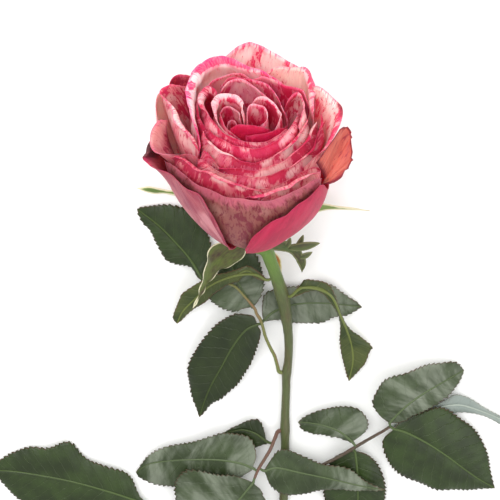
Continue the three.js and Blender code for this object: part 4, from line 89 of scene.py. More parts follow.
LEAVES = {
    "leaflet_upper_terminal": {"L":[[-22.92,121.36,6.86],[-25.61,122.84,5.77],[-28.74,127.04,4.23],[-35.03,127.97,3.0],[-39.5,130.1,2.29],[-43.0,135.67,1.66],[-46.02,142.75,1.24],[-49.5,147.01,1.07],[-51.2,150.82,1.01],[-52.03,153.71,1.06]],"M":[[-22.92,121.36,6.86],[-27.81,129.59,4.48],[-34.89,138.12,2.88],[-42.81,146.39,1.9],[-52.03,153.71,1.06]],"R":[[-22.92,121.36,6.86],[-21.12,126.14,5.51],[-19.08,134.17,3.84],[-20.59,142.4,2.72],[-24.1,149.3,1.99],[-30.28,153.89,1.51],[-37.35,155.69,1.22],[-41.79,155.64,1.11],[-46.23,155.13,1.03],[-49.79,154.65,1.01],[-52.03,153.71,1.06]]},
    "leaflet_upper_lateral": {"L":[[-1.01,109.13,8.06],[-5.19,108.01,7.22],[-8.66,105.98,6.58],[-14.06,107.11,5.82],[-17.21,108.93,5.46],[-20.11,112.49,5.14],[-19.18,117.08,4.95],[-16.68,122.91,4.83],[-14.4,129.77,4.9],[-10.8,137.67,5.26]],"M":[[-1.01,109.13,8.06],[-4.59,115.41,6.71],[-8.17,122.38,5.85],[-10.38,130.01,5.46],[-10.8,137.67,5.26]],"R":[[-1.01,109.13,8.06],[1.01,110.37,7.53],[3.03,113.96,6.76],[4.37,119.01,5.97],[3.73,124.64,5.44],[0.77,133.7,5.02],[-2.79,137.56,5.01],[-6.35,139.04,5.07],[-10.8,137.67,5.26]]},
    "leaf_simple_left": {"L":[[5.2,124.74,12.86],[3.68,126.96,12.94],[-2.35,131.51,13.41],[-7.21,130.09,13.47],[-12.54,128.01,12.56],[-18.03,126.17,11.14],[-22.84,123.1,9.69],[-31.48,115.95,6.82],[-33.35,112.57,5.86],[-36.84,101.84,3.01],[-35.03,98.15,2.06]],"M":[[5.2,124.5,12.86],[1.2,126.78,13.64],[-3.23,129.47,14.25],[-8.1,127.32,14.3],[-14.33,124.47,12.79],[-21.08,119.52,10.4],[-27.02,112.36,7.58],[-32.13,105.65,4.78],[-35.03,98.15,2.06]],"R":[[5.42,124.02,12.86],[2.53,125.06,13.03],[-1.02,127.39,13.37],[-4.12,127.21,13.5],[-7.23,123.67,13.17],[-12.14,121.61,11.82],[-17.54,116.77,9.73],[-21.18,112.62,8.15],[-27.13,107.05,5.67],[-32.47,100.56,3.05],[-35.03,98.15,2.06]]},
    "leaflet_middle_left": {"L":[[1.24,101.86,9.46],[-0.56,105.16,9.09],[-6.4,106.01,8.8],[-9.54,105.59,8.53],[-16.33,100.91,7.42],[-21.36,94.61,6.22],[-25.06,88.86,5.22],[-29.29,80.09,3.8],[-30.31,72.97,2.78],[-29.52,64.77,1.79],[-28.22,58.83,1.27],[-25.36,49.78,0.86]],"M":[[1.38,101.07,9.46],[-3.26,98.95,9.6],[-9.37,90.28,8.81],[-14.38,79.52,6.77],[-21.21,63.99,3.29],[-25.36,49.78,0.86]],"R":[[1.69,100.37,9.46],[3.05,96.77,9.21],[1.26,89.06,8.76],[-1.45,80.85,7.42],[-7.4,69.79,5.12],[-13.87,61.81,3.05],[-19.45,56.49,1.75],[-25.36,49.78,0.86]]},
    "leaflet_middle_right": {"L":[[3.95,102.57,7.26],[3.5,106.85,5.23],[5.3,113.74,2.99],[14.53,116.19,1.86],[20.15,116.77,2.05],[33.15,118.18,3.0],[39.04,114.67,3.52],[43.14,111.58,3.69],[45.87,109.87,3.73],[48.63,107.21,3.86]],"M":[[4.4,102.08,7.26],[9.38,105.42,4.28],[17.07,107.53,2.39],[26.08,108.66,2.7],[36.43,108.6,3.65],[48.63,107.21,3.86]],"R":[[4.86,101.58,7.26],[9.85,100.83,4.59],[17.14,99.0,2.26],[23.05,98.47,1.88],[28.49,98.47,2.21],[32.31,99.64,2.57],[37.0,102.41,3.16],[42.4,102.82,3.62],[48.63,107.21,3.86]]},
    "leaf_simple_right": {"L":[[16.58,115.74,12.86],[20.33,117.97,13.48],[24.75,119.66,14.0],[29.2,119.11,13.85],[32.37,116.48,13.44],[35.16,111.58,12.34],[37.57,105.73,10.32],[38.68,97.86,8.34],[38.65,92.27,7.09],[39.45,86.03,5.62],[41.31,78.0,3.68],[43.44,68.92,1.86]],"M":[[16.49,116.57,12.86],[19.42,119.59,13.85],[22.93,121.93,14.73],[27.8,121.81,15.0],[31.6,120.05,14.87],[34.1,116.94,14.45],[36.46,111.98,13.21],[38.88,105.66,11.24],[41.81,97.25,9.17],[44.33,88.72,7.02],[45.06,80.05,4.76],[43.44,68.92,1.86]],"R":[[16.35,117.2,12.86],[20.29,122.33,13.44],[22.48,125.15,13.77],[26.02,124.92,13.8],[29.14,124.39,13.7],[32.72,122.81,13.43],[35.02,118.7,12.94],[37.87,111.68,11.48],[42.24,99.97,8.61],[48.31,93.71,6.97],[53.25,88.55,5.61],[52.23,85.2,4.95],[50.59,79.62,3.88],[48.41,76.2,3.14],[46.01,72.25,2.38],[43.44,68.92,1.86]]},
    "leaflet_lower_left_side": {"L":[[-0.51,28.2,9.46],[0.87,34.04,8.59],[-0.52,40.24,7.95],[-4.21,43.58,7.37],[-13.46,44.37,6.4],[-18.56,42.8,5.9],[-28.99,38.8,4.81],[-41.17,35.31,3.2],[-49.52,29.85,1.92],[-55.36,20.86,1.06]],"M":[[-0.51,27.41,9.46],[-7.0,30.13,9.15],[-16.93,31.27,8.34],[-32.11,30.31,6.61],[-47.42,26.87,3.25],[-55.36,20.86,1.06]],"R":[[-0.98,26.61,9.46],[-3.76,24.11,8.77],[-10.3,19.83,7.75],[-21.54,16.29,6.22],[-32.35,15.0,4.88],[-42.71,15.11,3.2],[-47.67,15.68,2.3],[-53.54,17.8,1.31],[-55.36,20.86,1.06]]},
    "leaflet_lower_left_terminal": {"L":[[-0.75,21.61,11.86],[-8.86,24.72,11.74],[-16.92,25.26,11.76],[-25.07,27.02,11.13],[-32.05,26.5,10.21],[-36.34,20.16,9.29],[-36.52,9.96,8.25],[-33.9,-1.48,7.1],[-27.88,-9.53,6.36]],"M":[[-0.51,21.09,11.86],[-5.16,15.15,12.62],[-11.24,6.61,11.72],[-19.29,-2.49,9.06],[-27.88,-9.53,6.36]],"R":[[0.18,20.56,11.86],[3.68,16.15,11.58],[5.1,7.59,11.55],[1.38,-2.09,10.64],[-7.56,-9.66,8.86],[-18.44,-12.79,7.29],[-27.88,-9.53,6.36]]},
    "leaflet_lower_left_back": {"L":[[5.51,40.31,5.66],[4.57,45.1,4.84],[2.25,49.95,4.15],[-1.91,49.71,3.7],[-7.46,46.85,3.22],[-13.04,43.55,2.9],[-16.76,40.9,2.86]],"M":[[5.97,39.26,5.66],[0.87,43.03,4.88],[-5.15,44.73,4.15],[-11.18,43.34,3.49],[-16.76,40.9,2.86]],"R":[[5.98,38.22,5.66],[0.42,35.99,4.46],[-6.55,37.03,3.48],[-12.13,38.87,2.99],[-16.76,40.9,2.86]]},
    "leaflet_lower_right_side": {"L":[[4.58,27.17,10.46],[7.58,32.32,10.24],[11.02,37.06,10.28],[15.63,37.59,10.3],[23.53,33.81,10.09],[31.46,29.89,9.65],[41.24,28.01,9.12],[45.94,25.75,8.87],[52.59,19.72,8.5],[61.09,15.43,8.46]],"M":[[4.82,26.64,10.46],[11.99,28.52,10.98],[23.58,25.62,11.45],[37.57,22.03,10.72],[49.31,18.24,9.65],[61.09,15.43,8.46]],"R":[[4.96,26.12,10.46],[7.87,18.05,10.25],[14.41,14.35,10.3],[23.26,14.74,10.06],[31.65,16.07,9.58],[41.46,15.76,9.03],[51.77,14.94,8.53],[61.09,15.43,8.46]]},
    "leaflet_right_small": {"L":[[45.68,40.97,7.86],[51.63,45.76,7.06],[51.98,51.75,6.59],[46.85,56.97,5.68],[37.7,56.82,4.39],[29.48,54.21,3.35],[23.99,51.25,2.66],[20.33,47.96,2.36]],"M":[[45.37,40.45,7.86],[39.61,45.52,7.58],[32.71,47.82,6.04],[25.83,48.36,4.1],[20.33,47.96,2.36]],"R":[[44.78,39.93,7.86],[42.01,41.15,7.21],[34.64,42.71,5.83],[28.21,42.69,4.24],[23.59,43.71,3.2],[20.33,47.96,2.36]]},
    "leaflet_right_lower": {"L":[[45.9,34.65,5.86],[39.02,32.07,5.0],[34.48,25.88,4.34],[32.52,18.04,3.65],[33.41,6.8,2.76],[36.92,-4.56,1.87],[46.63,-15.02,0.86]],"M":[[46.83,34.38,5.86],[47.98,25.34,5.27],[48.75,13.01,4.21],[48.65,-1.37,2.68],[46.63,-15.02,0.86]],"R":[[47.76,34.65,5.86],[52.96,32.17,5.19],[57.78,26.54,4.56],[60.84,18.14,3.82],[61.61,8.03,3.02],[58.68,-4.45,2.06],[46.63,-15.02,0.86]]},
    "leaflet_right_upper": {"L":[[61.66,51.77,10.06],[57.69,55.49,9.77],[54.15,61.67,9.79],[56.46,68.68,9.51],[60.3,73.45,8.85],[69.15,75.86,7.58],[78.28,79.14,6.0],[85.23,79.43,4.53],[91.77,79.15,2.93],[96.17,74.55,1.86]],"M":[[62.35,51.77,10.06],[68.05,59.16,10.9],[75.68,65.39,10.06],[84.86,70.18,7.42],[96.17,74.55,1.86]],"R":[[63.05,51.51,10.06],[68.49,52.93,10.41],[75.93,56.85,10.41],[84.44,61.11,8.71],[89.66,65.08,6.95],[93.37,69.3,4.66],[95.25,71.65,3.21],[96.17,74.55,1.86]]},
    "leaflet_right_terminal": {"L":[[64.34,48.65,9.06],[69.35,52.77,8.03],[76.21,55.27,7.38],[84.01,57.65,6.49],[89.19,55.99,5.79],[94.03,51.95,5.0],[100.84,46.17,3.9],[105.92,38.31,2.91],[109.21,29.37,2.01],[110.85,20.96,1.24],[113.27,12.18,0.86]],"M":[[64.36,47.87,9.06],[73.21,44.42,9.03],[86.59,35.02,7.52],[102.9,20.19,3.68],[113.27,12.18,0.86]],"R":[[63.91,47.35,9.06],[60.38,43.32,8.33],[59.36,38.96,8.01],[62.65,29.66,7.35],[68.5,22.23,6.36],[76.43,17.85,5.2],[83.17,14.35,4.22],[89.15,13.11,3.44],[103.27,11.79,1.7],[113.27,12.18,0.86]]},
    "leaflet_right_back": {"L":[[66.01,48.66,4.66],[74.21,54.0,3.95],[86.11,58.5,3.15],[92.45,62.18,2.77],[98.99,60.49,2.49],[106.64,55.14,2.15],[113.82,50.78,1.76],[119.66,46.32,1.22],[123.59,42.98,0.86]],"M":[[66.03,47.88,4.66],[78.83,53.94,3.83],[92.62,57.16,3.06],[104.35,53.78,2.52],[116.27,48.15,1.72],[123.59,42.98,0.86]],"R":[[66.05,47.09,4.66],[76.67,49.76,3.8],[88.21,51.96,3.02],[96.07,52.78,2.61],[106.11,51.52,2.18],[114.03,46.58,1.71],[119.8,43.67,1.17],[123.59,42.98,0.86]]},
    "leaflet_bottom_left": {"L":[[-48.5,4.85,4.06],[-53.61,8.96,3.71],[-54.95,12.18,3.69],[-58.96,21.27,3.7],[-69.62,25.38,3.43],[-78.4,29.37,2.97],[-84.26,36.5,2.49],[-88.44,37.43,2.26],[-96.05,34.05,1.87],[-104.93,34.35,1.45],[-115.96,29.24,0.82],[-123.83,21.71,0.66]],"M":[[-48.51,4.31,4.06],[-59.18,9.07,4.83],[-74.02,14.64,5.19],[-88.93,18.46,4.39],[-110.05,21.62,2.42],[-123.83,21.71,0.66]],"R":[[-48.52,3.5,4.06],[-56.17,-0.77,3.69],[-68.06,-4.05,3.67],[-82.29,-4.39,3.08],[-98.74,0.47,2.1],[-112.63,8.63,1.26],[-123.83,21.71,0.66]]},
}
RACHISES = {
    "rachis_upper": [[11.53,74.92,4.46,1.2],[10.59,78.36,5.46,1.05],[9.27,84.11,6.86,1.0],[6.92,89.72,8.06,0.95],[4.95,95.06,8.76,0.9],[3.77,100.23,9.16,0.9],[2.59,103.84,9.46,1.0],[1.01,106.56,9.46,0.9],[0.16,109.03,9.46,0.85],[-3.69,114.15,9.36,0.75],[-9.05,119.76,8.76,0.7],[-15.75,121.07,7.86,0.65],[-21.13,121.3,7.16,0.6]],
    "rachis_lower_left": [[11.17,43.64,3.46,1.2],[9.67,41.47,5.86,1.1],[7.57,37.33,8.86,1.0],[4.57,32.11,9.86,0.95],[1.8,27.17,10.46,0.95],[0.28,23.39,11.26,0.8]],
    "rachis_right": [[17.39,17.79,3.76,1.2],[21.43,21.73,5.46,1.1],[30.65,27.28,6.86,1.0],[39.85,32.67,7.06,1.0],[46.47,37.36,7.46,1.0],[53.5,42.39,8.06,0.9],[59.8,46.93,8.76,0.85],[62.49,49.11,9.06,0.85]],
    "rachis_bottom_left": [[9.83,-26.56,2.76,1.2],[3.81,-22.25,3.46,1.1],[-9.02,-14.31,3.86,1.0],[-23.18,-6.6,3.96,0.95],[-35.86,-0.02,4.06,0.9],[-47.29,3.77,4.06,0.8]],
}
STEM = [
    [-1.69,153.27,23.26,5.0],
    [-0.82,151.62,22.66,5.8],
    [0.93,148.29,21.46,6.3],
    [3.12,145.19,20.26,5.6],
    [4.66,142.31,19.06,3.7],
    [5.99,139.22,17.96,3.0],
    [8.7,130.35,15.16,2.8],
    [10.75,123.04,12.86,2.9],
    [12.19,117.46,11.26,3.1],
    [13.55,110.76,9.46,2.8],
    [14.29,104.68,8.06,2.6],
    [15.27,96.56,6.66,2.15],
    [15.71,88.98,5.46,1.95],
    [15.52,80.41,4.46,1.95],
    [14.83,74.57,3.96,2.2],
    [14.69,70.28,3.56,1.95],
    [14.65,63.87,3.06,1.95],
    [14.37,51.77,2.66,1.95],
    [14.33,43.89,2.56,2.3],
    [14.37,38.59,2.46,2.0],
    [14.29,22.71,2.46,2.05],
    [14.19,16.3,2.46,2.4],
    [14.0,9.83,2.41,2.05],
    [13.49,-15.15,2.46,2.1],
    [13.18,-27.3,2.46,2.5],
    [12.95,-35.15,2.36,2.1],
    [12.19,-71.45,2.26,2.1],
    [11.39,-106.25,2.46,2.45],
    [11.24,-114.69,2.26,2.15],
    [10.64,-154.59,2.16,2.15],
    [11.36,-197.94,2.46,2.5],
    [11.81,-207.0,2.26,2.2],
    [13.09,-233.47,2.16,2.2],
]
CAMERA_MM = (-1.905, 491.473, 843.314)

CUP_LENGTH, CUP_WIDEN, CUP_REF, CUP_STEP, CUP_RADIUS = 11.0, 0.0025, 40.0, 0.2, 38.0
CUP_SIDES, CUP_FRONT, CUP_TOP = 6.5, 2.2, 60.0
BASE = np.array(BLOOM["base"])
AX_R, AX_F, AX_A = (np.array(BLOOM[k]) for k in ("right", "front", "axis"))


# ------------------------------------------------------------------ helpers
def waves(seed, count=5, low=0.6, high=3.5):
    """A smooth 1-D wobble of about +-1 as a function of t, in cycles over one unit."""
    rs = np.random.RandomState(seed)
    f = rs.uniform(low, high, count)
    p = rs.uniform(0, 2 * np.pi, count)
    a = rs.uniform(0.5, 1.0, count)
    a /= a.sum() * 0.6
    return lambda t: sum(a[i] * np.sin(2 * np.pi * f[i] * np.asarray(t) + p[i]) for i in range(count))


def smooth(a, b, x):
    u = np.clip((np.asarray(x, float) - a) / (b - a), 0, 1)
    return u * u * (3 - 2 * u)


def resample(rows, n, dims=3):
    rows = np.array(rows, float)
    P = np.vstack([2 * rows[0] - rows[1], rows, 2 * rows[-1] - rows[-2]])

    def at(t):
        s = np.clip(t, 0, 1) * (len(rows) - 1)
        i = np.minimum(s.astype(int), len(rows) - 2)
        u = (s - i)[:, None]
        a, b, c, d = P[i], P[i + 1], P[i + 2], P[i + 3]
        return 0.5 * (2 * b + (c - a) * u + (2 * a - 5 * b + 4 * c - d) * u * u + (3 * b - a - 3 * c + d) * u ** 3)
    fine = at(np.linspace(0, 1, 801))
    cum = np.r_[0, np.cumsum(np.linalg.norm(np.diff(fine[:, :dims], axis=0), axis=1))]
    t = np.interp(np.linspace(0, cum[-1], n), cum, np.linspace(0, 1, 801))
    return at(t), cum[-1]


def lift(x, y):
    return CUP_STEP * (CUP_RADIUS - np.hypot(x, y))


def cup(x, y, h):
    q = x * x + y * y
    ln = CUP_LENGTH + CUP_SIDES * x * x / (q + 1) * np.minimum(1, q / 400) - CUP_FRONT * np.maximum(y, 0) ** 2 / (q + 1)
    return (1 - np.exp(-np.maximum(h - lift(x, y), 0) / ln)) / (1 - np.exp(-CUP_TOP / ln)) * (1 + CUP_WIDEN * (h - CUP_REF))


def unit(v):
    return v / np.maximum(np.linalg.norm(v, axis=-1, keepdims=True), 1e-9)


def grid_normals(G):
    du = np.empty_like(G)
    du[1:-1] = G[2:] - G[:-2]
    du[0] = G[1] - G[0]
    du[-1] = G[-1] - G[-2]
    dv = np.empty_like(G)
    dv[:, 1:-1] = G[:, 2:] - G[:, :-2]
    dv[:, 0] = G[:, 1] - G[:, 0]
    dv[:, -1] = G[:, -1] - G[:, -2]
    return unit(np.cross(du, dv))


def mesh_object(name, verts, faces, layers, material):
    """verts in mm; faces a list of vertex index lists; layers {uv name: (N, 2) per vertex}."""
    me = bpy.data.meshes.new(name)
    me.from_pydata((np.asarray(verts) / 1000.0).tolist(), [], faces)
    me.validate()
    me.update()
    loops = np.empty(len(me.loops), np.int32)
    me.loops.foreach_get("vertex_index", loops)
    for lname, data in layers.items():
        uv = me.uv_layers.new(name=lname)
        uv.data.foreach_set("uv", np.asarray(data, np.float32)[loops].ravel())
    me.polygons.foreach_set("use_smooth", np.ones(len(me.polygons), bool))
    me.materials.append(material)
    ob = bpy.data.objects.new(name, me)
    bpy.context.scene.collection.objects.link(ob)
    return ob


def blade(G, thick, layers, both=None):
    """Closed thin solid round a grid of points G[i, j]; layers as grids [i, j, 2]. The first
    half of the vertices is the side that the normals point to."""
    n, m = G.shape[:2]
    Nn = grid_normals(G)
    t = np.broadcast_to(np.asarray(thick, float), (n, m))[..., None]
    A, B = G + Nn * t / 2, G - Nn * t / 2
    V = np.vstack([A.reshape(-1, 3), B.reshape(-1, 3)])
    i, j = np.meshgrid(np.arange(n - 1), np.arange(m - 1), indexing="ij")
    q = (i * m + j).ravel()
    f1 = np.stack([q, q + m, q + m + 1, q + 1], 1)
    o = n * m
    f2 = np.stack([q + o, q + 1 + o, q + m + 1 + o, q + m + o], 1)
    F = [f1, f2]
    a = np.arange(n - 1) * m
    F.append(np.stack([a, a + o, a + m + o, a + m], 1))
    a = np.arange(n - 1) * m + m - 1
    F.append(np.stack([a, a + m, a + m + o, a + o], 1))
    b = np.arange(m - 1)
    F.append(np.stack([b, b + 1, b + 1 + o, b + o], 1))
    b = (n - 1) * m + np.arange(m - 1)
    F.append(np.stack([b, b + o, b + 1 + o, b + 1], 1))
    F = np.vstack(F)
    L = {}
    for k, g in layers.items():
        g2 = (both or {}).get(k, g)
        L[k] = np.vstack([g.reshape(-1, 2), g2.reshape(-1, 2)])
    # outward check by signed volume
    v0, v1, v2, v3 = (V[F[:, k]] for k in range(4))
    vol = np.einsum("ij,ij->i", v0, np.cross(v1, v2)).sum() + np.einsum("ij,ij->i", v0, np.cross(v2, v3)).sum()
    if vol < 0:
        F = F[:, ::-1]
    return V, F.tolist(), L, Nn


def tube(rows, sides, rings, rough=0.0, seed=0, slant=0.0, bend=None):
    P, length = resample(rows, rings)
    r = np.maximum(P[:, 3], 0.05)
    C = P[:, :3]
    D = unit(np.gradient(C, axis=0))
    up = np.array([0, 0, 1.0])
    t = np.linspace(0, 2 * np.pi, sides, endpoint=False)
    V, uv = [], []
    w = waves(seed, 6, 4, 30)
    w2 = waves(seed + 1, 4, 1, 8)
    s = np.linspace(0, 1, rings)
    wob = 1 + rough * (w(s))
    for k in range(rings):
        x = unit(np.cross(D[k], up))
        y = unit(np.cross(x, D[k]))
        up = y
        rr = r[k] * (wob[k] + rough * 0.8 * np.sin(3 * t + 9 * w2(s[k])))
        ring = C[k] + rr[:, None] * (np.cos(t)[:, None] * x + np.sin(t)[:, None] * y)
        if slant and k == rings - 1:
            ring = ring + D[k] * (slant * np.sin(t))[:, None]
        V.append(ring)
        uv.append(np.stack([t / (2 * np.pi), np.full(sides, s[k] * length / 100)], 1))
    V = np.vstack(V)
    uv = np.vstack(uv)
    F = []
    for k in range(rings - 1):
        for q in range(sides):
            q2 = (q + 1) % sides
            F.append([k * sides + q, k * sides + q2, (k + 1) * sides + q2, (k + 1) * sides + q])
    F.append(list(range(sides))[::-1])
    F.append([(rings - 1) * sides + q for q in range(sides)])
    return V, F, uv, C, D


# ------------------------------------------------------------------ material helpers
def rgb(h):
    c = [int(h[i:i + 2], 16) / 255 for i in (1, 3, 5)]
    return tuple(x / 12.92 if x <= 0.04045 else ((x + 0.055) / 1.055) ** 2.4 for x in c) + (1.0,)


class Nodes:
    def __init__(self, name):
        self.mat = bpy.data.materials.new(name)
        self.mat.use_nodes = True
        self.t = self.mat.node_tree
        self.t.nodes.clear()
        self.out = self.t.nodes.new("ShaderNodeOutputMaterial")
        self.p = self.t.nodes.new("ShaderNodeBsdfPrincipled")
        self.t.links.new(self.p.outputs[0], self.out.inputs["Surface"])

    def link(self, a, b):
        if isinstance(a, (int, float)):
            b.default_value = a
        elif isinstance(a, tuple):
            b.default_value = a
        else:
            self.t.links.new(a, b)

    def uv(self, layer):
        n = self.t.nodes.new("ShaderNodeUVMap")
        n.uv_map = layer
        s = self.t.nodes.new("ShaderNodeSeparateXYZ")
        self.t.links.new(n.outputs[0], s.inputs[0])
        return s.outputs[0], s.outputs[1]

    def math(self, op, a, b=0.0, c=None, clamp=False):
        n = self.t.nodes.new("ShaderNodeMath")
        n.operation = op
        n.use_clamp = clamp
        self.link(a, n.inputs[0])
        self.link(b, n.inputs[1])
        if c is not None:
            self.link(c, n.inputs[2])
        return n.outputs[0]

    def noise(self, u, v, su, sv, seed=0.0, detail=2.0, rough=0.5, distortion=0.0):
        c = self.t.nodes.new("ShaderNodeCombineXYZ")
        self.link(self.math("MULTIPLY", u, 100.0 * su), c.inputs[0])
        self.link(self.math("MULTIPLY", v, 100.0 * sv), c.inputs[1])
        c.inputs[2].default_value = seed
        n = self.t.nodes.new("ShaderNodeTexNoise")
        n.inputs["Scale"].default_value = 1.0
        n.inputs["Detail"].default_value = detail
        n.inputs["Roughness"].default_value = rough
        n.inputs["Distortion"].default_value = distortion
        self.t.links.new(c.outputs[0], n.inputs["Vector"])
        return n.outputs["Fac"] if "Fac" in n.outputs else n.outputs[0]

    def step(self, x, a, b):
        n = self.t.nodes.new("ShaderNodeMapRange")
        n.interpolation_type = "SMOOTHSTEP"
        n.inputs["From Min"].default_value = a
        n.inputs["From Max"].default_value = b
        if a > b:
            n.inputs["From Min"].default_value = b
            n.inputs["From Max"].default_value = a
            n.inputs["To Min"].default_value = 1.0
            n.inputs["To Max"].default_value = 0.0
        self.link(x, n.inputs["Value"])
        return n.outputs[0]

    def mix(self, fac, a, b, mode="MIX"):
        n = self.t.nodes.new("ShaderNodeMix")
        n.data_type = "RGBA"
        n.blend_type = mode
        n.clamp_factor = True
        self.link(fac, n.inputs[0])
        self.link(a, n.inputs[6])
        self.link(b, n.inputs[7])
        return n.outputs[2]

    def bump(self, height, strength, distance):
        n = self.t.nodes.new("ShaderNodeBump")
        n.inputs["Strength"].default_value = strength
        n.inputs["Distance"].default_value = distance
        self.link(height, n.inputs["Height"])
        self.t.links.new(n.outputs[0], self.p.inputs["Normal"])

    def done(self, colour, rough=0.5, **k):
        self.link(colour, self.p.inputs["Base Color"])
        self.p.inputs["Roughness"].default_value = rough
        for key, v in k.items():
            self.p.inputs[key.replace("_", " ")].default_value = v
        return self.mat


def petal_material(name, base, wash, streak, rim, outer, dens=0.60, fleck=0.66, rim_w=0.05, rim_k=0.8,
                   wash_k=0.5, outer_k=0.3, painted_shade="#b3123f", painted_shade_k=0.6, stain="#5a1a26", seed=0.0, rough=0.5, streak_k=0.9,
                   cream="#f6dccb", zone_k=1.0, width=0.72, length=0.19, hair_k=0.5, spot_k=0.9):
    m = Nodes(name)
    u, v = m.uv("UVMap")
    d, face = m.uv("Rim")
    st, painted_shade_depth = m.uv("Tone")
    z0, _ = m.uv("Zone")
    pz = m.math("MULTIPLY", m.math("SUBTRACT", z0, 0.5), 2.0)
    wander = m.noise(u, v, 0.17, 0.12, seed + 11.3, 2.0)
    uu = m.math("ADD", u, m.math("MULTIPLY", m.math("SUBTRACT", wander, 0.5), 0.034))
    zone = m.noise(uu, v, 0.085, 0.075, seed + 3.1, 2.0, 0.6)
    n1 = m.noise(uu, v, width, length, seed, 3.0, 0.58, 0.35)
    n2 = m.noise(uu, v, 1.4, 0.34, seed + 7.7, 2.0, 0.5, 0.1)
    n3 = m.noise(uu, v, 0.95, 0.07, seed + 1.3, 3.0, 0.6, 0.4)
    n4 = m.noise(u, v, 0.26, 0.13, seed + 5.5, 2.0)
    n5 = m.noise(uu, v, 0.95, 0.19, seed + 9.2, 4.0, 0.6, 0.5)
    lean = m.math("ADD", m.math("MULTIPLY", m.math("SUBTRACT", zone, 0.5), zone_k), m.math("MULTIPLY", pz, 0.12))
    col = m.mix(m.math("MULTIPLY", m.step(m.math("ADD", n4, m.math("MULTIPLY", lean, 0.6)), 0.32, 0.66), wash_k, clamp=True), rgb(base), rgb(wash))
    pale = m.step(m.math("ADD", m.math("SUBTRACT", m.math("MULTIPLY", n5, 0.9), 0.45), m.math("ADD", pz, m.math("MULTIPLY", lean, 1.5))), -0.05, -0.95)
    col = m.mix(m.math("MULTIPLY", pale, 0.70), col, rgb(cream))
    s = m.math("ADD", n1, lean)
    mask = m.step(s, dens, dens + 0.065)
    soft = m.step(s, dens - 0.12, dens + 0.05)
    col = m.mix(m.math("MULTIPLY", soft, 0.6), col, rgb(wash))
    col = m.mix(m.math("MULTIPLY", mask, streak_k), col, rgb(streak))
    hair = m.math("MULTIPLY", m.step(n3, 0.53, 0.60), m.step(m.math("ADD", d, m.math("MULTIPLY", n5, 0.05)), 0.085, 0.03))
    col = m.mix(m.math("MULTIPLY", hair, hair_k), col, rgb(streak))
    solid = m.step(m.math("ADD", pz, m.math("MULTIPLY", m.math("SUBTRACT", n5, 0.5), 2.0)), 0.40, 0.72)
    col = m.mix(m.math("MULTIPLY", solid, spot_k), col, m.mix(m.step(n2, 0.35, 0.6), rgb(streak), m.mix(0.35, rgb(streak), rgb(wash))))
    f = m.math("ADD", n2, m.math("MULTIPLY", lean, 0.35))
    col = m.mix(m.math("MULTIPLY", m.step(f, fleck, fleck + 0.04), 0.85), col, rgb(streak))
    fine = m.step(n3, 0.25, 0.75)
    vein = m.mix(fine, (0.90, 0.76, 0.78, 1), (1.0, 1.0, 1.0, 1))
    col = m.mix(1.0, col, vein, "MULTIPLY")
    dd = m.math("ADD", d, m.math("MULTIPLY", m.math("SUBTRACT", n2, 0.5), rim_w * 1.2))
    dd = m.math("ADD", dd, m.math("MULTIPLY", m.math("SUBTRACT", n4, 0.5), rim_w * 2.2))
    col = m.mix(m.math("MULTIPLY", m.step(dd, rim_w, 0.0), rim_k), col, rgb(rim))
    col = m.mix(m.math("MULTIPLY", face, outer_k), col, rgb(outer))
    # painted shade: below the rim the colour is darkened and tinted toward a crimson shade colour (a light pink for the
    # palest petals), standing in for the shade and bounced light inside the cup and between the petals
    painted_shade_lin = rgb(painted_shade)
    top = max(painted_shade_lin[:3])
    painted_shade_tint = tuple(min(1.0, 0.75 * x / top + 0.25) for x in painted_shade_lin[:3]) + (1.0,)
    painted_shade_tinted = m.mix(1.0, col, painted_shade_tint, "MULTIPLY")
    dark = m.mix(0.5, painted_shade_lin, painted_shade_tinted)
    col = m.mix(m.math("MULTIPLY", painted_shade_depth, painted_shade_k), col, dark)
    sm = m.math("ADD", st, m.math("MULTIPLY", m.math("SUBTRACT", n4, 0.5), m.math("MULTIPLY", st, 1.1)))
    col = m.mix(m.step(sm, 0.12, 0.72), col, rgb(stain))
    m.bump(m.math("ADD", n3, m.math("MULTIPLY", n4, 1.2)), 0.35, 0.0006)
    m.p.inputs["Sheen Weight"].default_value = 0.03
    m.p.inputs["Sheen Roughness"].default_value = 0.6
    m.p.inputs["Subsurface Weight"].default_value = 0.40
    m.p.inputs["Subsurface Radius"].default_value = (1.0, 0.35, 0.3)
    m.p.inputs["Subsurface Scale"].default_value = 0.0022
    m.p.inputs["Specular IOR Level"].default_value = 0.22
    return m.done(col, rough)


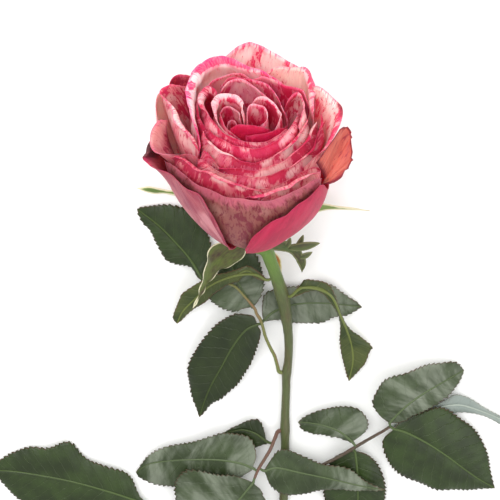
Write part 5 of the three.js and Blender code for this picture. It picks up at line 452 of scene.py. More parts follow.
# pale and crimson patches: (place along the petal 0..1, mm in from its edge, half width mm, half height mm, -1 pale .. 1 crimson)
PATCHES = {
    "petal_left_1": [(0.431, 2.1, 9, 2.2, 1), (0.31, 1.3, 6, 1.6, 0.9), (0.638, 2.2, 3, 1.8, 0.9), (0.224, 0.2, 1.2, 1.6, 0.8), (0.81, 0, 4, 1.8, -0.8), (0.784, 9.8, 3.5, 2.5, 1), (0.586, 2.2, 3, 1.6, -0.8), (0.362, 5, 4, 1.4, -0.6), (0.707, 1.1, 2, 1.5, 0.5), (0.948, 2.8, 5, 3.5, -0.3), (0.474, 10.6, 10, 6, -0.9), (0.543, 2.6, 4, 2, 0.5), (0.172, 0.1, 3, 1.5, -0.5), (0.112, 1.1, 3, 1.5, 0.7)],
    "petal_back_1": [(0.457, 2.2, 1, 4.5, 1), (0.395, 9.8, 0.9, 3.5, 1), (0.494, 2.1, 0.8, 2.5, 1), (0.222, 0.5, 4, 3, 0.15), (0.321, 6, 4, 6, -0.9), (0.605, 3.3, 8, 6, -0.9), (0.383, 0.7, 2, 2, 0.3), (0.506, 7.2, 3, 4, -1), (0.37, 11, 2, 3, 0.2)],
    "petal_right_1": [(0.255, 3.1, 8, 5, -0.8), (0.418, 9.1, 8, 5, -0.9), (0.473, 0.6, 2.2, 1.2, 0.9), (0.655, 0.6, 1.5, 3, 0.5), (0.782, 1.9, 4, 4, -0.5), (0.927, 0, 2, 3, 0.4), (0.382, 0.7, 3, 1, -0.3)],
    "petal_right_2": [(0.176, 3.5, 6, 5, -0.9), (0.314, 2.2, 5, 4, -0.7), (0.431, 0.5, 2, 1.4, 1), (0.431, 4.4, 3, 1, 0.4), (0.451, 8.3, 4, 4, -0.8), (0.49, 13.3, 4, 3, -0.6), (0.706, 1.9, 2, 0.8, 0.8)],
    "petal_left_2": [(0.276, 0.2, 6, 3, 0.8), (0.138, 0, 3, 2, 0.9)],
    "petal_left_3": [(0.263, 1.2, 2.2, 2.2, 0.8), (0.211, 7.3, 3, 2, -0.8), (0.526, 0, 4, 2.6, -1), (0.684, 0, 4, 2.8, -1), (0.754, 8.6, 4, 2.6, -0.9), (0.982, 0, 2.6, 1.5, 0.9), (0.877, 7.1, 2.5, 2, -0.6), (0.14, 7.2, 4, 6, -0.2)],
    "petal_left_4": [(0.345, 1.7, 4, 4, -0.3), (0.345, 8, 4, 4, -0.9)],
    "petal_left_5": [(0.053, 14.1, 4, 3, 1), (0.211, 3.4, 8, 5, -0.5), (0.447, 1.3, 5, 3, -0.2), (0.079, 0.1, 4, 2, 0.3)],
    "petal_ring_front_1": [(0.177, 2.4, 3, 3.5, -1), (0.052, 1.8, 3, 1.6, -0.9), (0.333, 4.4, 3, 1.5, 0.5), (0.438, 3.5, 3, 2.6, -0.8), (0.542, 0.8, 3, 2, -0.5), (0.708, 0, 4, 1.6, -0.8), (0.573, 0, 2, 1.5, 0.8), (0.833, 0, 3, 1.6, -0.4), (0.51, 0, 1.5, 2, 0.7)],
    "petal_ring_front_2": [(0.673, 2.8, 5.5, 3.6, 1), (0.591, 2.3, 3, 2.4, 0.9), (0.473, 2.4, 1.6, 2.5, 0.8), (0.409, 1.5, 2.6, 2.4, -0.8), (0.518, 0.1, 2.6, 2.4, -0.8), (0.755, 3.2, 2.4, 2, -1), (0.482, 4.4, 2, 1.5, 0.8), (0.418, 0, 3, 1.5, 0.3), (0.836, 1.9, 4, 4, -0.6), (0.918, 1.3, 3, 4, -0.3)],
    "petal_front_3": [(0.17, 0, 3.5, 2.2, -1), (0.287, 0, 3.5, 2, -0.9), (0.106, 0, 1.6, 1.4, 0.9), (0.426, 0, 3, 1.2, 0.9), (0.543, 1.8, 3, 1.5, -0.6), (0.628, 3.2, 2.4, 1.4, 0.8), (0.745, 4.8, 3, 2, -1), (0.787, 6.8, 0.8, 2, 1), (0.862, 6, 3, 2, -0.7), (0.926, 5.1, 2, 2, -0.4), (0.457, 2.6, 3, 0.8, 0.8)],
    "petal_front_4": [(0.074, 0.2, 2, 2, 0.9), (0.223, 1.6, 2.5, 2.5, 0.8), (0.309, 5.2, 2.4, 2.6, 0.8), (0.383, 0.9, 2.4, 2, 0.7), (0.468, 4, 3, 2.4, -0.8), (0.596, 2.9, 3, 2, -0.4), (0.404, 4.9, 3, 3, -0.6), (0.947, 0, 3, 3, -0.8), (0.957, 8.5, 3, 3, 0.3), (0.787, 6, 4, 2.5, 0.2)],
    "petal_front_5": [(0.486, 3.4, 2.4, 2.2, 0.9), (0.551, 2.8, 2, 1.6, 0.6), (0.626, 4.3, 3, 2, -0.9), (0.766, 5.3, 3, 2.2, -1), (0.785, 8.2, 1, 1.6, 0.9), (0.421, 4.8, 3, 2.5, -0.7), (0.682, 4, 2, 1.5, -0.4)],
    "petal_front_6": [(0.717, 0, 4, 2, 0.3), (0.943, 0, 4, 1.5, 0.4), (0.491, 0, 3, 2, -0.5)],
    "petal_front_7": [(0.085, 0, 2.5, 2, -1), (0.085, 0, 1, 1, 0.8), (0.296, 0, 3, 2, -0.3), (0.38, 5.5, 2.2, 1.6, 0.8), (0.493, 5.6, 2.5, 1.6, -0.8), (0.634, 4.5, 1.8, 1.4, 1), (0.718, 4.3, 2.6, 1.8, -1), (0.817, 4, 1, 1.6, 1), (0.901, 2.7, 2.4, 1.2, -0.9), (0.338, 7.5, 2, 3, -0.7), (0.211, 8.7, 2, 3, 0.4)],
    "petal_front_8": [(0.193, 5.8, 3, 1.4, -0.9), (0.333, 6.7, 3, 1.4, 0.3), (0.509, 5.9, 3, 1.6, -0.5), (0.667, 5.5, 2.4, 1.6, -0.8), (0.754, 9.2, 1.2, 2, 0.7), (0.93, 1.9, 4, 1.2, 0.3)],
    "petal_front_9": [(0.537, 12.4, 1.6, 2.2, 1), (0.57, 15.7, 1.6, 3, 1), (0.628, 10.8, 1.8, 2.2, 1), (0.545, 25.6, 1.4, 3, 1), (0.504, 5.4, 1.2, 2, 0.8), (0.694, 3.6, 1.6, 2, 0.8), (0.752, 3.6, 1.2, 2, 0.7), (0.471, 3, 1.2, 3, 0.6), (0.372, 11.4, 4, 5, -0.6), (0.661, 6, 3, 4, -0.5), (0.521, 0, 4, 2.5, -0.3), (0.579, 19.6, 1, 3, 0.8)],
    "petal_outer_front_left": [(0.67, 15.2, 2, 3, 1), (0.773, 18.4, 1.2, 1.6, 0.8), (0.732, 11.2, 3, 6, 0.4), (0.907, 11.7, 4, 5, -0.8), (0.835, 16.7, 4, 7, -0.5)],
    "petal_ring_back_1": [(0.098, 0, 3, 2, -0.5), (0, 2.9, 3, 2, 0.9), (0.341, 1, 2.2, 1.5, 0.6)],
    "petal_ring_back_2": [(0.125, 0.7, 3, 1.6, 0.9), (0.286, 5.9, 2.6, 3.5, -0.3), (0.232, 5.9, 0.8, 2.2, 0.8), (0.304, 6.9, 0.7, 2.6, 0.9), (0.196, 9, 0.8, 2, 0.8), (0.446, 7, 4, 4, -0.3)],
    "petal_ring_back_3": [(1, 2.4, 2, 1.5, -0.4)],
    "petal_ring_back_4": [(0.564, 0.5, 3, 4, 1), (0.385, 0.2, 3, 3, -0.4)],
    "petal_ring_right": [(0.188, 6.4, 3, 4, -0.7), (0.094, 9.5, 1.5, 3, 0.7), (0.344, 0.6, 3, 3, -0.7), (0.812, 0, 2, 3, 0.3)],
    "petal_heart_left_outer": [(0.478, 1.3, 6, 1.5, -0.55), (0.373, 1.8, 6, 1.4, -0.55), (0.239, 0.8, 5, 1.4, -0.55), (0.045, 0, 4, 1.4, -0.45), (0.299, 2.8, 1.6, 2.2, 1), (0.463, 3, 1.2, 2.4, 0.9), (0.388, 5.3, 0.9, 2, -0.45), (0.164, 1.7, 1.6, 3, -0.55), (0.403, 6.9, 1.2, 3, 1), (0.701, 0, 4, 1.4, -0.5)],
    "petal_heart_left_middle": [(0.354, 3, 2.2, 3, 1), (0.104, 0, 2, 3.5, -1), (0.438, 4.3, 1.2, 2, -0.9), (0.229, 5.9, 3, 2, -0.4)],
    "petal_heart_right_outer": [(0.297, 0.6, 4, 1.2, -0.6), (0.459, 0, 3, 1.2, -0.9), (0.649, 0, 3, 1.4, -0.6), (0.405, 2, 3, 2.2, 1), (0.108, 0, 2, 2, -0.3), (0.865, 0.1, 3, 1.4, -0.5)],
    "petal_heart_right_inner": [(0.361, 4.6, 1.6, 2.6, -0.8), (0.639, 0, 2, 2, -0.6), (0.5, 2.2, 0.9, 2.5, 0.9)],
    "petal_heart_front_inner": [(0.31, 2.4, 3, 2, 0.9), (0.793, 1.9, 4, 2, 1)],
    "petal_heart_front": [(0, 0, 3, 2, -0.2), (0.414, 1.9, 4, 2, 1)],
}


# ------------------------------------------------------------------ petals
# each lip: (place along the petal 0..1, length of the turned-out edge mm, its turn in degrees)
DEFAULT_LIP = [(0, 1.0, 35), (1, 1.0, 35)]
LIPS = {
    "petal_heart_left_outer": [(0, 1.0, 40), (0.1, 2.4, 85), (0.3, 4.2, 125), (0.55, 3.8, 115), (0.7, 1.8, 70), (0.85, 1.0, 35), (1, 0.8, 30)],
    "petal_heart_left_middle": [(0, 0.9, 40), (0.4, 1.3, 55), (1, 0.9, 30)],
    "petal_heart_left_inner": [(0, 0.8, 40), (0.5, 1.1, 50), (1, 0.8, 30)],
    "petal_heart_right_outer": [(0, 0.8, 30), (0.3, 1.8, 75), (0.5, 2.1, 85), (0.7, 1.6, 65), (1, 0.8, 30)],
    "petal_heart_right_inner": [(0, 0.8, 40), (0.5, 1.4, 60), (1, 0.8, 30)],
    "petal_heart_front_inner": [(0, 0.7, 25), (1, 0.7, 25)],
    "petal_heart_front": [(0, 0.8, 30), (1, 0.8, 30)],
    "petal_ring_front_1": [(0, 2.5, 90), (0.08, 4.6, 130), (0.22, 4.8, 130), (0.34, 2.4, 80), (0.45, 1.3, 45), (0.8, 1.3, 45), (1, 0.9, 30)],
    "petal_ring_front_2": [(0, 0.9, 30), (0.25, 1.4, 55), (0.6, 1.3, 45), (0.8, 2.2, 75), (1, 1.0, 30)],
    "petal_ring_back_1": [(0, 1.0, 40), (0.5, 1.6, 60), (1, 1.0, 40)],
    "petal_ring_back_2": [(0, 1.0, 40), (0.5, 1.4, 50), (1, 1.0, 40)],
    "petal_ring_back_3": [(0, 1.0, 40), (1, 1.0, 40)],
    "petal_ring_back_4": [(0, 1.0, 40), (0.5, 1.6, 60), (1, 1.0, 40)],
    "petal_ring_right": [(0, 1.2, 50), (0.5, 2.2, 75), (1, 1.4, 60)],
    "petal_front_3": [(0, 1.4, 60), (0.08, 3.8, 105), (0.22, 4.4, 116), (0.38, 3.2, 95), (0.52, 2.3, 72), (0.64, 3.8, 92), (0.78, 4.8, 105), (0.90, 3.4, 90), (1, 1.3, 45)],
    "petal_front_4": [(0, 1.2, 50), (0.08, 3.4, 110), (0.22, 3.0, 95), (0.4, 2.2, 70), (0.6, 3.0, 85), (0.80, 3.8, 95), (0.92, 4.2, 100), (1, 2.0, 60)],
    "petal_front_5": [(0, 1.2, 40), (0.2, 2.2, 70), (0.5, 2.6, 75), (0.75, 3.6, 95), (0.92, 3.0, 85), (1, 1.2, 40)],
    "petal_front_6": [(0, 1.0, 35), (0.4, 1.8, 60), (1, 1.6, 50)],
    "petal_front_7": [(0, 3.0, 85), (0.05, 4.4, 108), (0.15, 4.2, 100), (0.4, 5.4, 112), (0.7, 4.8, 110), (0.9, 3.4, 90), (1, 1.5, 60)],
    "petal_front_8": [(0, 1.6, 60), (0.15, 4.4, 105), (0.45, 5.4, 112), (0.8, 4.6, 105), (1, 1.6, 60)],
    "petal_front_9": [(0, 0.9, 30), (1, 0.9, 30)],
    "petal_left_1": [(0, 1.2, 40), (0.2, 2.4, 60), (0.35, 4.8, 95), (0.5, 6.6, 112), (0.7, 6.4, 112), (0.86, 4.0, 90), (1, 1.2, 40)],
    "petal_left_2": [(0, 1.0, 40), (0.5, 1.8, 60), (1, 1.2, 40)],
    "petal_left_3": [(0, 0.8, 30), (0.26, 1.2, 35), (0.34, 2.4, 55), (0.44, 3.9, 90), (0.56, 5.2, 105), (0.75, 5.4, 105), (0.92, 4.2, 95), (1, 1.6, 50)],
    "petal_left_4": [(0, 1.0, 30), (1, 1.0, 30)],
    "petal_left_5": [(0, 1.2, 40), (0.5, 1.6, 50), (1, 1.2, 40)],
    "petal_right_1": [(0, 1.2, 40), (0.38, 1.6, 45), (0.5, 4.2, 95), (0.7, 5.2, 105), (0.9, 3.6, 80), (1, 1.6, 50)],
    "petal_right_2": [(0, 1.2, 40), (0.3, 2.6, 60), (0.55, 3.4, 75), (0.8, 2.0, 60), (1, 1.2, 40)],
    "petal_right_3": [(0, 1.4, 50), (0.5, 1.8, 60), (1, 1.4, 50)],
    "petal_back_1": [(0, 1.2, 30), (0.5, 2.2, 45), (1, 1.2, 30)],
    "petal_outer_front_left": [(0, 1.0, 40), (0.14, 1.6, 60), (0.22, 3.0, 110), (0.32, 2.2, 80), (0.45, 1.0, 40), (1, 0.8, 25)],
    "petal_outer_front_right": [(0, 0.9, 30), (1, 0.8, 25)],
}
FLARE = {"petal_right_3": 1.05, "petal_left_5": 1.25}
# torn or shrivelled margins, mm
RAGGED = {"petal_right_3": 0.8, "petal_outer_front_left": 0.25, "petal_left_3": 0.3}
# how far each petal bulges outwards under its rim, and over what height (mm)
BELLY = {"petal_heart": (0.75, 2.2), "petal_ring": (1.5, 3.0), "petal_front": (1.8, 3.4), "petal_left": (1.3, 4.0), "petal_right": (1.0, 4.0),
         "petal_back": (0.6, 5.0), "petal_outer": (0.25, 6.0)}
BELLY_OWN = {"petal_front_9": (0.3, 4.0), "petal_front_8": (0.9, 3.0), "petal_front_7": (1.3, 3.0), "petal_front_6": (1.2, 3.0),
             "petal_left_5": (0.3, 4.0), "petal_right_3": (0.3, 4.0), "petal_right_2": (0.7, 4.0), "petal_heart_right_inner": (0.5, 2.0), "petal_heart_left_inner": (0.5, 2.0)}
RUFFLE = {"petal_left_5": 0.45, "petal_right_3": 0.9, "petal_right_2": 0.45, "petal_outer_front_left": 0.6, "petal_back_1": 0.5, "petal_left_1": 0.35,
          "petal_left_2": 0.3, "petal_left_3": 0.35, "petal_front_7": 0.4, "petal_front_8": 0.35, "petal_front_9": 0.3, "petal_right_1": 0.3}

# height below the rim, mm, over which painted shade deepens the colour, for the shade inside the cup and between the
# petals
PAINTED_SHADE_DEPTH = {"petal_heart": (1.5, 7.0), "petal_ring": (1.8, 8.0), "petal_front": (2.0, 9.0), "petal_left": (3.0, 14.0), "petal_right": (4.0, 16.0),
         "petal_back": (5.0, 20.0), "petal_outer": (8.0, 40.0), "petal_front_9": (8.0, 40.0)}
STYLE = {
    "petal_heart": dict(base="#f0a0ac", wash="#de4c76", streak="#c80a48", rim="#f0a0b0", outer="#e07590", dens=0.52, fleck=0.60, rim_w=0.012, rim_k=0.4, wash_k=0.9, outer_k=0.10, painted_shade_k=0.5, painted_shade="#c00a42", cream="#f5c9c6"),
    "petal_ring": dict(base="#eda9aa", wash="#dc5278", streak="#c80e48", rim="#e2507c", outer="#d84a70", dens=0.515, fleck=0.60, rim_w=0.010, rim_k=0.4, wash_k=0.95, outer_k=0.12, painted_shade_k=0.55, painted_shade="#b80c40", cream="#f4ccc4"),
    "petal_front": dict(base="#ecabaa", wash="#d6587a", streak="#c01448", rim="#cf2c60", outer="#d5687a", dens=0.535, fleck=0.60, rim_w=0.010, rim_k=0.4, wash_k=0.9, outer_k=0.12, painted_shade_k=0.7, painted_shade="#a01440", cream="#f5d3cd"),
    "petal_left": dict(base="#f5c6bb", wash="#e57a92", streak="#d01a56", rim="#e04a7a", outer="#e08e94", dens=0.57, fleck=0.62, rim_w=0.018, rim_k=0.65, wash_k=0.85, outer_k=0.2, painted_shade_k=0.6, painted_shade="#b93055"),
    "petal_right": dict(base="#f5c8b8", wash="#e8868f", streak="#cc1c52", rim="#e0567a", outer="#e6a49c", dens=0.59, fleck=0.63, rim_w=0.016, rim_k=0.6, wash_k=0.85, outer_k=0.2, painted_shade_k=0.6, painted_shade="#c0455c"),
    "petal_back": dict(base="#f5d2d2", wash="#f0a4b0", streak="#dc2d63", rim="#e8658a", outer="#efc8c0", dens=0.61, fleck=0.67, rim_w=0.014, rim_k=0.6, wash_k=0.6, outer_k=0.2, painted_shade_k=0.35, painted_shade="#d0607a", cream="#faeae4", hair_k=0.8),
}
OWN = {
    "petal_ring_back_3": dict(base="#efb0b2", wash="#e07c96", streak="#cc1c54", rim="#e05a86", outer="#e0708c", dens=0.55, fleck=0.61, rim_w=0.010, rim_k=0.4, wash_k=0.8, outer_k=0.1, painted_shade_k=0.3, painted_shade="#c02858", cream="#f4ccc6", hair_k=0.65),
    "petal_ring_back_2": dict(base="#efb0b2", wash="#e07c96", streak="#cc1c54", rim="#e05a86", outer="#e0708c", dens=0.55, fleck=0.61, rim_w=0.010, rim_k=0.4, wash_k=0.8, outer_k=0.1, painted_shade_k=0.3, painted_shade="#c02858", cream="#f4ccc6", hair_k=0.65),
    "petal_ring_back_1": dict(base="#efb0b2", wash="#e07c96", streak="#cc1c54", rim="#e05a86", outer="#e0708c", dens=0.55, fleck=0.61, rim_w=0.010, rim_k=0.4, wash_k=0.8, outer_k=0.1, painted_shade_k=0.3, painted_shade="#c02858", cream="#f4ccc6", hair_k=0.65),
    "petal_ring_front_2": dict(base="#df8696", wash="#cb3a62", streak="#b60a40", rim="#d2345f", outer="#cc4468", dens=0.50, fleck=0.585, rim_w=0.010, rim_k=0.4, wash_k=0.95, outer_k=0.12, painted_shade_k=0.8, painted_shade="#960a36", cream="#f1c0c0", hair_k=0.65),
    "petal_ring_front_1": dict(base="#df8696", wash="#cb3a62", streak="#b60a40", rim="#d2345f", outer="#cc4468", dens=0.50, fleck=0.585, rim_w=0.010, rim_k=0.4, wash_k=0.95, outer_k=0.12, painted_shade_k=0.8, painted_shade="#960a36", cream="#f1c0c0", hair_k=0.65),
    "petal_ring_right": dict(base="#f2c6c2", wash="#e4869a", streak="#c91a50", rim="#e0567a", outer="#e09aa0", dens=0.56, fleck=0.60, rim_w=0.012, rim_k=0.6, wash_k=0.8, outer_k=0.15, painted_shade_k=0.35, painted_shade="#b81c4c"),
    "petal_right_1": dict(base="#fcd4d2", wash="#f4a8b0", streak="#d02c5e", rim="#e0567a", outer="#f0b4ae", dens=0.64, fleck=0.68, rim_w=0.014, rim_k=0.6, wash_k=0.6, outer_k=0.10, painted_shade_k=0.30, painted_shade="#ffa0aa", hair_k=0.8),
    "petal_left_3": dict(base="#f0c2be", wash="#dd8490", streak="#c41c56", rim="#cf3a6a", outer="#d98a90", dens=0.585, fleck=0.60, rim_w=0.010, rim_k=0.7, wash_k=0.85, outer_k=0.2, painted_shade_k=0.3, painted_shade="#b93055", cream="#f4d0ca", hair_k=0.8),
    "petal_left_2": dict(base="#c8707e", wash="#b34a66", streak="#92204a", rim="#a83058", outer="#b85a70", dens=0.56, fleck=0.62, rim_w=0.016, rim_k=0.6, wash_k=0.9, outer_k=0.2, painted_shade_k=0.3, painted_shade="#8c2042"),
    "petal_front_7": dict(base="#e0a09f", wash="#c64e66", streak="#b01042", rim="#c0305a", outer="#c05668", dens=0.535, fleck=0.60, rim_w=0.012, rim_k=0.6, wash_k=0.9, outer_k=0.15, painted_shade_k=0.75, painted_shade="#861234", cream="#efcac5", hair_k=0.6),
    "petal_front_8": dict(base="#ecaaa6", wash="#d6667a", streak="#b81448", rim="#c83c64", outer="#d07080", dens=0.55, fleck=0.61, rim_w=0.012, rim_k=0.6, wash_k=0.85, outer_k=0.15, painted_shade_k=0.3, painted_shade="#a5163e", cream="#f3d1cb", hair_k=0.6),
    # petal_front_9: its whole colour set is darkened as painted shade for the shadow under the lips above it, over its
    # own dull pinkish-brown
    "petal_front_9": dict(base="#8f554d", wash="#814744", streak="#6e0c2c", rim="#c8637a", outer="#8a4a46", dens=0.58, fleck=0.580, rim_w=0.075, rim_k=0.72, wash_k=0.6, outer_k=0.12, painted_shade_k=0.10, painted_shade="#6c1430", cream="#ae8278", width=1.1, length=0.22, hair_k=0.7, zone_k=0.35),
    "petal_outer_front_left": dict(base="#a84d5b", wash="#983a50", streak="#8a1240", rim="#a82850", outer="#9c4450", dens=0.525, fleck=0.62, rim_w=0.012, rim_k=0.8, wash_k=0.9, outer_k=0.2, painted_shade_k=0.1, stain="#3c0f18", cream="#dc9ca2", width=0.7, length=0.13, hair_k=0.7, zone_k=1.1),
    "petal_outer_front_right": dict(base="#ba1e4a", wash="#a8143f", streak="#98103a", rim="#b02450", outer="#b01c48", dens=0.56, fleck=0.66, rim_w=0.014, rim_k=0.4, wash_k=0.95, outer_k=0.35, painted_shade_k=0.1, painted_shade="#8c0f30", cream="#d85a78", hair_k=0.3),
    "petal_outer_back_right": dict(base="#dba0a4", wash="#cf6c84", streak="#bd2f5c", rim="#c84a70", outer="#d88c98", dens=0.60, fleck=0.66, wash_k=0.8, outer_k=0.4, painted_shade_k=0.1),
    "petal_outer_back_left": dict(base="#dba6a8", wash="#cf7489", streak="#bd355f", rim="#c84a70", outer="#d8929c", dens=0.60, fleck=0.66, wash_k=0.8, outer_k=0.4, painted_shade_k=0.1),
    "petal_right_3": dict(base="#c26c5c", wash="#b0544a", streak="#8c2c3e", rim="#6c1828", outer="#b8604e", dens=0.60, fleck=0.66, rim_w=0.018, rim_k=0.8, wash_k=0.7, outer_k=0.15, painted_shade_k=0.05, stain="#5e1424", cream="#d08468", hair_k=0.75),
    "petal_left_5": dict(base="#dd969a", wash="#cf6a7c", streak="#a82850", rim="#bd4c6c", outer="#c87c88", dens=0.60, fleck=0.66, rim_w=0.012, rim_k=0.6, wash_k=0.85, outer_k=0.2, painted_shade_k=0.04, painted_shade="#b83c5c", cream="#e8b2aa", hair_k=0.55),
    "petal_left_4": dict(base="#f1cdc4", wash="#ecb0ae", streak="#d76a86", rim="#d9607f", outer="#eec0b8", dens=0.66, fleck=0.68, rim_w=0.010, rim_k=0.6, wash_k=0.5, outer_k=0.2, painted_shade_k=0.05, painted_shade="#d0607a"),
    "petal_left_1": dict(base="#fdd6d6", wash="#f49cb0", streak="#e01c62", rim="#e8357a", outer="#ea90a0", dens=0.56, fleck=0.63, rim_w=0.012, rim_k=0.7, wash_k=0.8, outer_k=0.10, painted_shade_k=0.30, painted_shade="#ffa4b0", cream="#f9d9d4", hair_k=0.8),
    "petal_heart_left_outer": dict(base="#f2bcbe", wash="#e67e96", streak="#d0104e", rim="#f0b6ba", outer="#e9909e", dens=0.55, fleck=0.60, rim_w=0.030, rim_k=0.5, wash_k=0.75, outer_k=0.1, painted_shade_k=0.5, painted_shade="#c40c46", cream="#f3c6c6"),
    "petal_heart_front": dict(base="#d22a58", wash="#c4164a", streak="#ae0a3c", rim="#d84a70", outer="#c4164a", dens=0.5, fleck=0.6, rim_w=0.01, rim_k=0.4, wash_k=0.9, outer_k=0.1, painted_shade_k=0.6, painted_shade="#8c0a30"),
    "petal_heart_front_inner": dict(base="#d22a58", wash="#c4164a", streak="#ae0a3c", rim="#d84a70", outer="#c4164a", dens=0.5, fleck=0.6, rim_w=0.01, rim_k=0.4, wash_k=0.9, outer_k=0.1, painted_shade_k=0.6, painted_shade="#8c0a30"),
    "petal_ring_back_4": dict(base="#e88a9e", wash="#d75a80", streak="#c4104c", rim="#e05a86", outer="#d03a66", dens=0.55, fleck=0.60, rim_w=0.010, rim_k=0.4, wash_k=0.9, outer_k=0.1, painted_shade_k=0.3, painted_shade="#b80c40", hair_k=0.6),
    "petal_right_2": dict(base="#f2c8c2", wash="#e8929a", streak="#cc1f55", rim="#de5a78", outer="#efb8a8", dens=0.59, fleck=0.62, rim_w=0.012, rim_k=0.7, wash_k=0.75, outer_k=0.2, painted_shade_k=0.2, painted_shade="#c8506a", hair_k=0.8, cream="#f8e2da"),
}


def petal(name, rows, seed):
    rows = np.array(rows, float)
    if name == "petal_left_4":
        # its first edge tucks in behind the next petal
        rows = np.vstack([rows[0] + (rows[0] - rows[1]) / np.linalg.norm((rows[0] - rows[1])[:2]) * 1.3, rows])
    group = "_".join(name.split("_")[:2])
    reach = np.hypot(rows[:, 0], rows[:, 1]).max()
    inner = reach < 24.5
    L = np.linalg.norm(np.diff(rows[:, :2], axis=0), axis=1).sum()
    n = int(np.clip(round(L / 0.6), 30, 150))
    cols, _ = resample(rows, n, 2)
    s = np.linspace(0, 1, n)
    wx, wy, rx, ry, hr, h1 = cols.T
    lp = np.array(LIPS.get(name, DEFAULT_LIP))
    rip = waves(seed * 7 + 5, 6, 1.0, 5.0)
    ell = np.interp(s, lp[:, 0], lp[:, 1]) * (1 + 0.16 * waves(seed * 7 + 6, 6, 1, 6)(s * L / 45))
    phm = np.radians(np.interp(s, lp[:, 0], lp[:, 2]) * (1 + 0.10 * rip(s * L / 45)))
    r = ell / phm
    phc = np.minimum(phm, np.pi / 2)
    # the rim's outline wavers a little, and dips at its two ends
    wob = waves(seed * 7 + 1, 6, 1.5, 6.0)
    fine = waves(seed * 7 + 2, 7, 6.0, 16.0)
    dist = np.minimum(s, 1 - s) * L
    ragged = RAGGED.get(name, 0.0)
    if ragged:
        hr = hr + ragged * (waves(seed * 7 + 3, 9, 5.0, 14.0)(s) * 0.6 - 1.2 * np.exp(-((s - 0.62) / 0.02) ** 2))
    hr = hr + 0.28 * wob(s * L / 40) + 0.10 * fine(s * L / 40) - 1.6 * (1 - smooth(0, 4.0, dist))
    up = lift(wx, wy)
    hb = up + (8.0 if inner else 3.6)
    hw = hr - r * np.sin(phc)       # wall up to here, the turned-out edge above
    nv, nl = (40, 18)
    v = 1 - (1 - np.linspace(0, 1, nv)) ** 1.5
    hb = np.minimum(hb, hw - 6)
    H = hb[:, None] + (hw - hb)[:, None] * v[None, :]
    f = (np.maximum(0, H - h1[:, None]) / (hr - h1)[:, None]) ** FLARE.get(name, 2.0)
    rim = cup(wx, wy, hr)
    S = cup(wx[:, None], wy[:, None], H)
    X = wx[:, None] * S + ((rx - wx * rim)[:, None]) * f
    Y = wy[:, None] * S + ((ry - wy * rim)[:, None]) * f
    # outward direction in plan
    tx, ty = np.gradient(wx), np.gradient(wy)
    tl = np.hypot(tx, ty)
    ox, oy = ty / tl, -tx / tl
    k = (ox * (wx - wx.mean()) + oy * (wy - wy.mean())).mean()
    if k < 0:
        ox, oy = -ox, -oy
    # the wall bulges out under its edge, draws in a little below a wide lip, and ripples near the rim
    dH = hw[:, None] - H
    B, scale = BELLY_OWN.get(name) or BELLY.get(group, (0.5, 4.0))
    off = B * (1 - np.exp(-dH / scale)) * np.exp(-np.maximum(dH - 6, 0) / 9)
    off = off - 0.5 * (r * (1 - np.cos(phc)))[:, None] * np.exp(-(dH / 4.5) ** 2)
    q = np.maximum(0, 1 - dH / 14)
    amp = RUFFLE.get(name, 0.2)
    off = off + amp * (rip(s * L / 50)[:, None]) * q ** 1.5 * (smooth(0, 5, dist)[:, None])
    X = X + ox[:, None] * off
    Y = Y + oy[:, None] * off
    G = BASE + X[..., None] * AX_R + Y[..., None] * AX_F + H[..., None] * AX_A
    top = G[:, -1]
    D = unit(G[:, -1] - G[:, -2])
    T = unit(np.gradient(top, axis=0))
    N = unit(np.cross(T, D))
    o3 = ox[:, None] * AX_R + oy[:, None] * AX_F
    sg = np.sign((N * o3).sum(-1, keepdims=True))
    N = N * np.where(sg == 0, 1, sg)
    phi = phm[:, None] * np.linspace(0, 1, nl + 1)[None, 1:]
    roll = top[:, None] + r[:, None, None] * ((1 - np.cos(phi))[..., None] * N[:, None] + np.sin(phi)[..., None] * D[:, None])
    G = np.concatenate([G, roll], axis=1)
    m = G.shape[1]
    # coordinates: arc and length along the petal, distance to its edge
    seg = np.linalg.norm(np.diff(G, axis=1), axis=2)
    along = np.concatenate([np.zeros((n, 1)), np.cumsum(seg, axis=1)], axis=1)
    to_edge = along[:, -1:] - along
    F = np.concatenate([f, np.ones((n, m - nv))], axis=1)
    wide = L + (max(np.linalg.norm(np.diff(G[:, nv], axis=0), axis=1).sum(), L) - L) * F
    side = np.minimum(s, 1 - s)[:, None] * wide * np.clip(along / along[:, -1:], 0.3, 1)
    edge = np.minimum(to_edge, side)
    top_h = hr[:, None] - np.concatenate([H, np.repeat(hr[:, None], m - nv, 1)], axis=1)
    # painted shade: grows with the height below the rim
    painted_shade_depth = smooth(*PAINTED_SHADE_DEPTH.get(name, PAINTED_SHADE_DEPTH.get(group, (2.0, 13.0))), top_h)
    stain = np.zeros((n, m))
    if name == "petal_outer_front_left":
        stain = (1 - smooth(0.26, 0.42, s))[:, None] * (1 - smooth(3, 15, to_edge)) * 1.0
    if name == "petal_right_3":
        stain = (1 - smooth(0.1, 1.8, edge)) * 0.6 + smooth(0.80, 1.0, s)[:, None] * (1 - smooth(2, 7, to_edge)) * 0.5
    if name == "petal_left_2":
        stain = (1 - smooth(0.06, 0.16, s))[:, None] * (1 - smooth(2, 7, to_edge)) * 0.35
    if name == "petal_right_2":
        stain = (1 - smooth(0.05, 0.12, np.abs(s - 0.42)))[:, None] * (1 - smooth(0.5, 3.0, to_edge)) * 0.5
    zone = np.zeros((n, m))
    for s0, e0, ws, we, kind in PATCHES.get(name, []):
        q = np.hypot((s[:, None] - s0) * L / ws, (to_edge - e0) / we)
        zone += kind * (1 - smooth(0.5, 1.3, q))
    zone = np.clip(zone, -1, 1) * 0.5 + 0.5
    th = 0.16 + 0.20 * smooth(0, 2.2, to_edge)
    th[:, 0] = 0.2
    ref = np.linspace(-0.5, 0.5, n)[:, None] * wide
    arc = ref * np.clip(along / np.maximum(along[:, -1:], 1), 0.35, 1) ** 0.5 + seed * 13.7
    uv = np.stack([np.broadcast_to(arc, (n, m)), to_edge + seed * 5.1], -1) / 100
    Nn = grid_normals(G)
